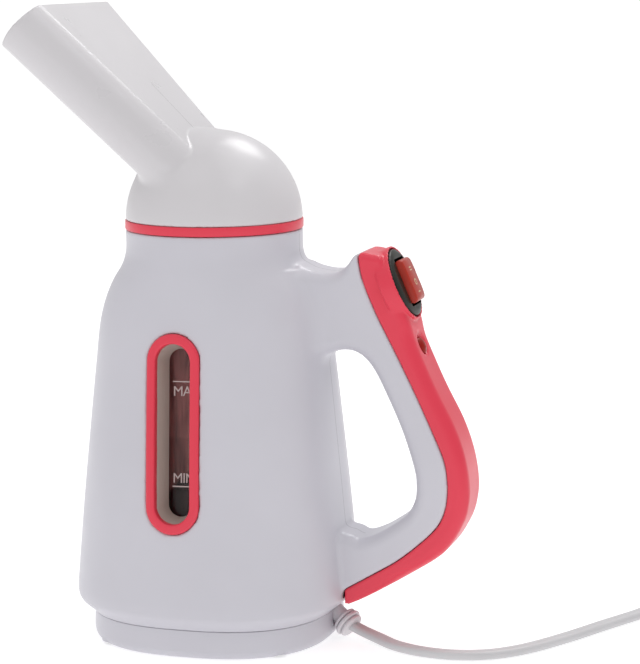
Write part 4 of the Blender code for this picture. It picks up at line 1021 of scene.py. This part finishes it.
def make_gland():
    """The strain relief where the cord leaves the base: a short stack of discs."""
    outline = [
        (0.0, 2.7), (4.7, 2.7), (5.4, 2.2), (5.4, 1.3), (4.3, 1.1), (4.3, 0.7), (6.0, 0.5), (6.2, 0.0),
        (6.0, -0.9), (4.3, -1.1), (4.3, -1.5), (5.6, -1.7), (5.6, -2.5), (5.0, -3.0), (3.6, -3.2),
        (3.6, -9.5), (0.0, -9.5),
    ]
    place = along(GLAND_CENTRE, dipping(GLAND_YAW, GLAND_DIP))
    gland = turned("ribbed_gland", outline, 64, place, round_by=0.25, segments=3)
    return finished(gland, GLAND, "body", "cord_gland", angle=40)


TIE_OFFSET, TIE_HALF_WIDTH, TIE_CORNER = 34.5, 10.0, 2.0
TIE_LOW, TIE_HIGH = 0.35, 14.9


def tie_ring(side, grow):
    """The band's round-cornered section, at that distance from the coil's middle along X."""
    middle, level = COIL_CENTRE[1] - TIE_OFFSET, (TIE_LOW + TIE_HIGH) / 2
    reach = TIE_CORNER + grow
    spots = []
    for sy, sz in ((-1, -1), (1, -1), (1, 1), (-1, 1)):
        corner_y = middle + sy * (TIE_HALF_WIDTH - TIE_CORNER)
        corner_z = level + sz * ((TIE_HIGH - TIE_LOW) / 2 - TIE_CORNER)
        start = math.atan2(sz, sy) - math.pi / 4
        for k in range(6):
            angle = start + math.pi / 2 * k / 5
            y, z = corner_y + reach * math.cos(angle), corner_z + reach * math.sin(angle)
            spots.append((COIL_CENTRE[0] + side, y, z))
    return spots


def make_tie():
    """The band round one side of the coil."""
    rings = [tie_ring(-3.0, 0.8), tie_ring(3.0, 0.8), tie_ring(3.0, 0.0), tie_ring(-3.0, 0.0)]
    return finished(loft("coil_tie", rings, cyclic=True), BLACK, "body", "cord_tie", angle=30)


# Each row is a distance from the plug's cord end, and the half width and half height there.
PLUG_ROWS = [
    (0.0, 3.6, 2.9), (3.0, 4.2, 3.4), (9.0, 5.2, 4.2), (13.0, 11.4, 5.9), (19.0, 16.9, 6.75),
    (26.0, 17.4, 6.85), (33.0, 16.0, 6.8), (36.0, 12.8, 6.2),
]
PLUG_SIDES, PLUG_POWER = 40, 0.62
PIN_OUTLINE = [(0, 19.0), (1.2, 18.8), (1.8, 18.0), (2.0, 16.8), (2.0, 0), (0, 0)]
PIN_HALF_SPACING, PIN_START = 9.3, 36.3


def make_plug():
    """The flat two-pin plug."""
    x, y = COIL_CENTRE[0] + END_RADIUS, COIL_CENTRE[1] - 4.0
    angles = [2 * math.pi * i / PLUG_SIDES for i in range(PLUG_SIDES)]
    rings = []
    for depth, half_x, half_z in smooth(PLUG_ROWS, 4):
        ring = []
        for angle in angles:
            across = half_x * swollen(math.cos(angle), PLUG_POWER)
            rise = half_z * swollen(math.sin(angle), PLUG_POWER)
            ring.append((x + across, y - depth, PLUG_HEIGHT + rise))
        rings.append(ring)
    pieces = [finished(loft("mains_plug", rings), VINYL, "body", "plug_body", angle=35)]
    for k, side in enumerate((-1, 1), 1):
        where = along((x + side * PIN_HALF_SPACING, y - PIN_START, PLUG_HEIGHT), (0.0, -1.0, 0.0))
        pin = turned(f"mains_pin_{k}", PIN_OUTLINE, 32, where)
        pieces.append(finished(pin, BRASS, "body", f"plug_pin_{k}", angle=30))
    return pieces


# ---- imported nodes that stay

STAYING = {
    GREY: ("steam_riser", "cord_clamp"),
    WHITE: ("nozzle_grille", "steam_baffle", "terminal_block"),
    SILICONE: ("neck_seal", "boiler_gasket"),
    DARK: ("boiler_cap",),
    BLACK: ("lead_neutral", "lead_switch_return"),
    LEAD_RED: ("lead_live", "lead_switch_feed"),
    TANK: ("water_tank",),
    ALLOY: ("heater_plate",),
    STEEL: (
        "heating_element", "thermostat", "heater_screw_1", "heater_screw_2", "heater_screw_3",
        "clamp_screw_1", "clamp_screw_2",
    ),
    BRASS: ("switch_terminal_1", "switch_terminal_2", "switch_terminal_3"),
    GLASS: ("thermal_fuse", "indicator_lamp"),
    VINYL: ("cord_tail",),
}


def dress_nodes():
    """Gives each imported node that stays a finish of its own."""
    for material, names in STAYING.items():
        for name in names:
            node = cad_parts[name]
            node.data.materials.clear()
            node.data.materials.append(material)
            node.data.shade_smooth()
            node.data.set_sharp_from_angle(angle=math.radians(35.0))


# ---- stage

# Each light is a name, a place in metres, the side of its square in metres, and its power in watts.
LIGHTS = [
    ("top", (0.50, 0.20, 1.35), 0.9, 2.8),
    ("back", (0.20, 0.78, 1.12), 0.5, 4.4),
    ("fill", (-0.25, -0.75, 1.5), 0.9, 1.7),
    ("edge", (0.74, -0.38, 1.15), 0.3, 1.0),
]
LIT_POINT = Vector((0.0, 0.0, 0.12))
FLOOR_DROP, FLOOR_GLOW = 0.0002, 0.62
SHOWN_WORLD = 1.05
CAMERA_PLACE, CAMERA_LENS = (0.3125, -0.9077, 0.278), 126.5
CAMERA_HEADING, CAMERA_DIP, CAMERA_ROLL = math.radians(16.42), math.radians(9.0), math.radians(0.5)


def make_stage():
    """The floor, the lights and the world."""
    bpy.ops.mesh.primitive_plane_add(size=8.0, location=(0.0, 0.0, -FLOOR_DROP))
    floor = bpy.context.active_object
    floor.name = "floor"
    paper = plastic("floor_paper", (0.62, 0.62, 0.625), 0.8, grain=300.0, spec=0.1)
    shader = paper.node_tree.nodes["Principled BSDF"]
    shader.inputs["Emission Color"].default_value = (1.0, 1.0, 1.0, 1.0)
    shader.inputs["Emission Strength"].default_value = FLOOR_GLOW
    floor.data.materials.append(paper)
    make_world()
    for light in LIGHTS:
        add_light(*light)
    bpy.context.scene.view_settings.view_transform = "Standard"


def make_world():
    """A white surround that lights less than it shows, and less on the handle's side."""
    world = bpy.data.worlds.new("studio")
    bpy.context.scene.world = world
    world.use_nodes = True
    tree = world.node_tree
    background = tree.nodes["Background"]
    background.inputs["Color"].default_value = (1.0, 1.0, 1.0, 1.0)
    rays = tree.nodes.new("ShaderNodeLightPath")
    strength = tree.nodes.new("ShaderNodeMapRange")
    strength.inputs["To Max"].default_value = SHOWN_WORLD
    tree.links.new(rays.outputs["Is Camera Ray"], strength.inputs["Value"])
    where = tree.nodes.new("ShaderNodeTexCoord")
    apart = tree.nodes.new("ShaderNodeSeparateXYZ")
    tree.links.new(where.outputs["Generated"], apart.inputs["Vector"])
    tree.links.new(spread(tree, apart.outputs["X"], 0.75, 0.52, -0.4, 0.9), strength.inputs["To Min"])
    tree.links.new(strength.outputs["Result"], background.inputs["Strength"])


def add_light(name, place, size, watts):
    """A square soft light aimed at the steamer's middle."""
    data = bpy.data.lights.new(name, "AREA")
    data.shape = "SQUARE"
    data.size = size
    data.energy = watts
    light = added(name, data)
    light.location = place
    light.rotation_euler = (LIT_POINT - Vector(place)).to_track_quat("-Z", "Y").to_euler()


def make_camera():
    """The camera at the photograph's angle, turned to its heading and then dipped and rolled."""
    level = math.cos(CAMERA_DIP)
    forward = Vector((
        -math.sin(CAMERA_HEADING) * level, math.cos(CAMERA_HEADING) * level, -math.sin(CAMERA_DIP),
    ))
    right = Vector((math.cos(CAMERA_HEADING), math.sin(CAMERA_HEADING), 0.0))
    above = right.cross(forward)
    side = right * math.cos(CAMERA_ROLL) - above * math.sin(CAMERA_ROLL)
    top = above * math.cos(CAMERA_ROLL) + right * math.sin(CAMERA_ROLL)
    data = bpy.data.cameras.new("camera")
    data.lens = CAMERA_LENS
    data.sensor_width = 36.0
    data.clip_start = 0.01
    camera = added("camera", data)
    turn = Matrix((side, top, -forward)).transposed().to_4x4()
    camera.matrix_world = Matrix.Translation(CAMERA_PLACE) @ turn
    bpy.context.scene.camera = camera


make_camera()
make_cord()
make_body()
make_cover()
make_head()
make_frame()
make_window()
make_neck()
make_base()
make_switch()
make_lamp()
make_screws()
dress_nodes()
make_stage()
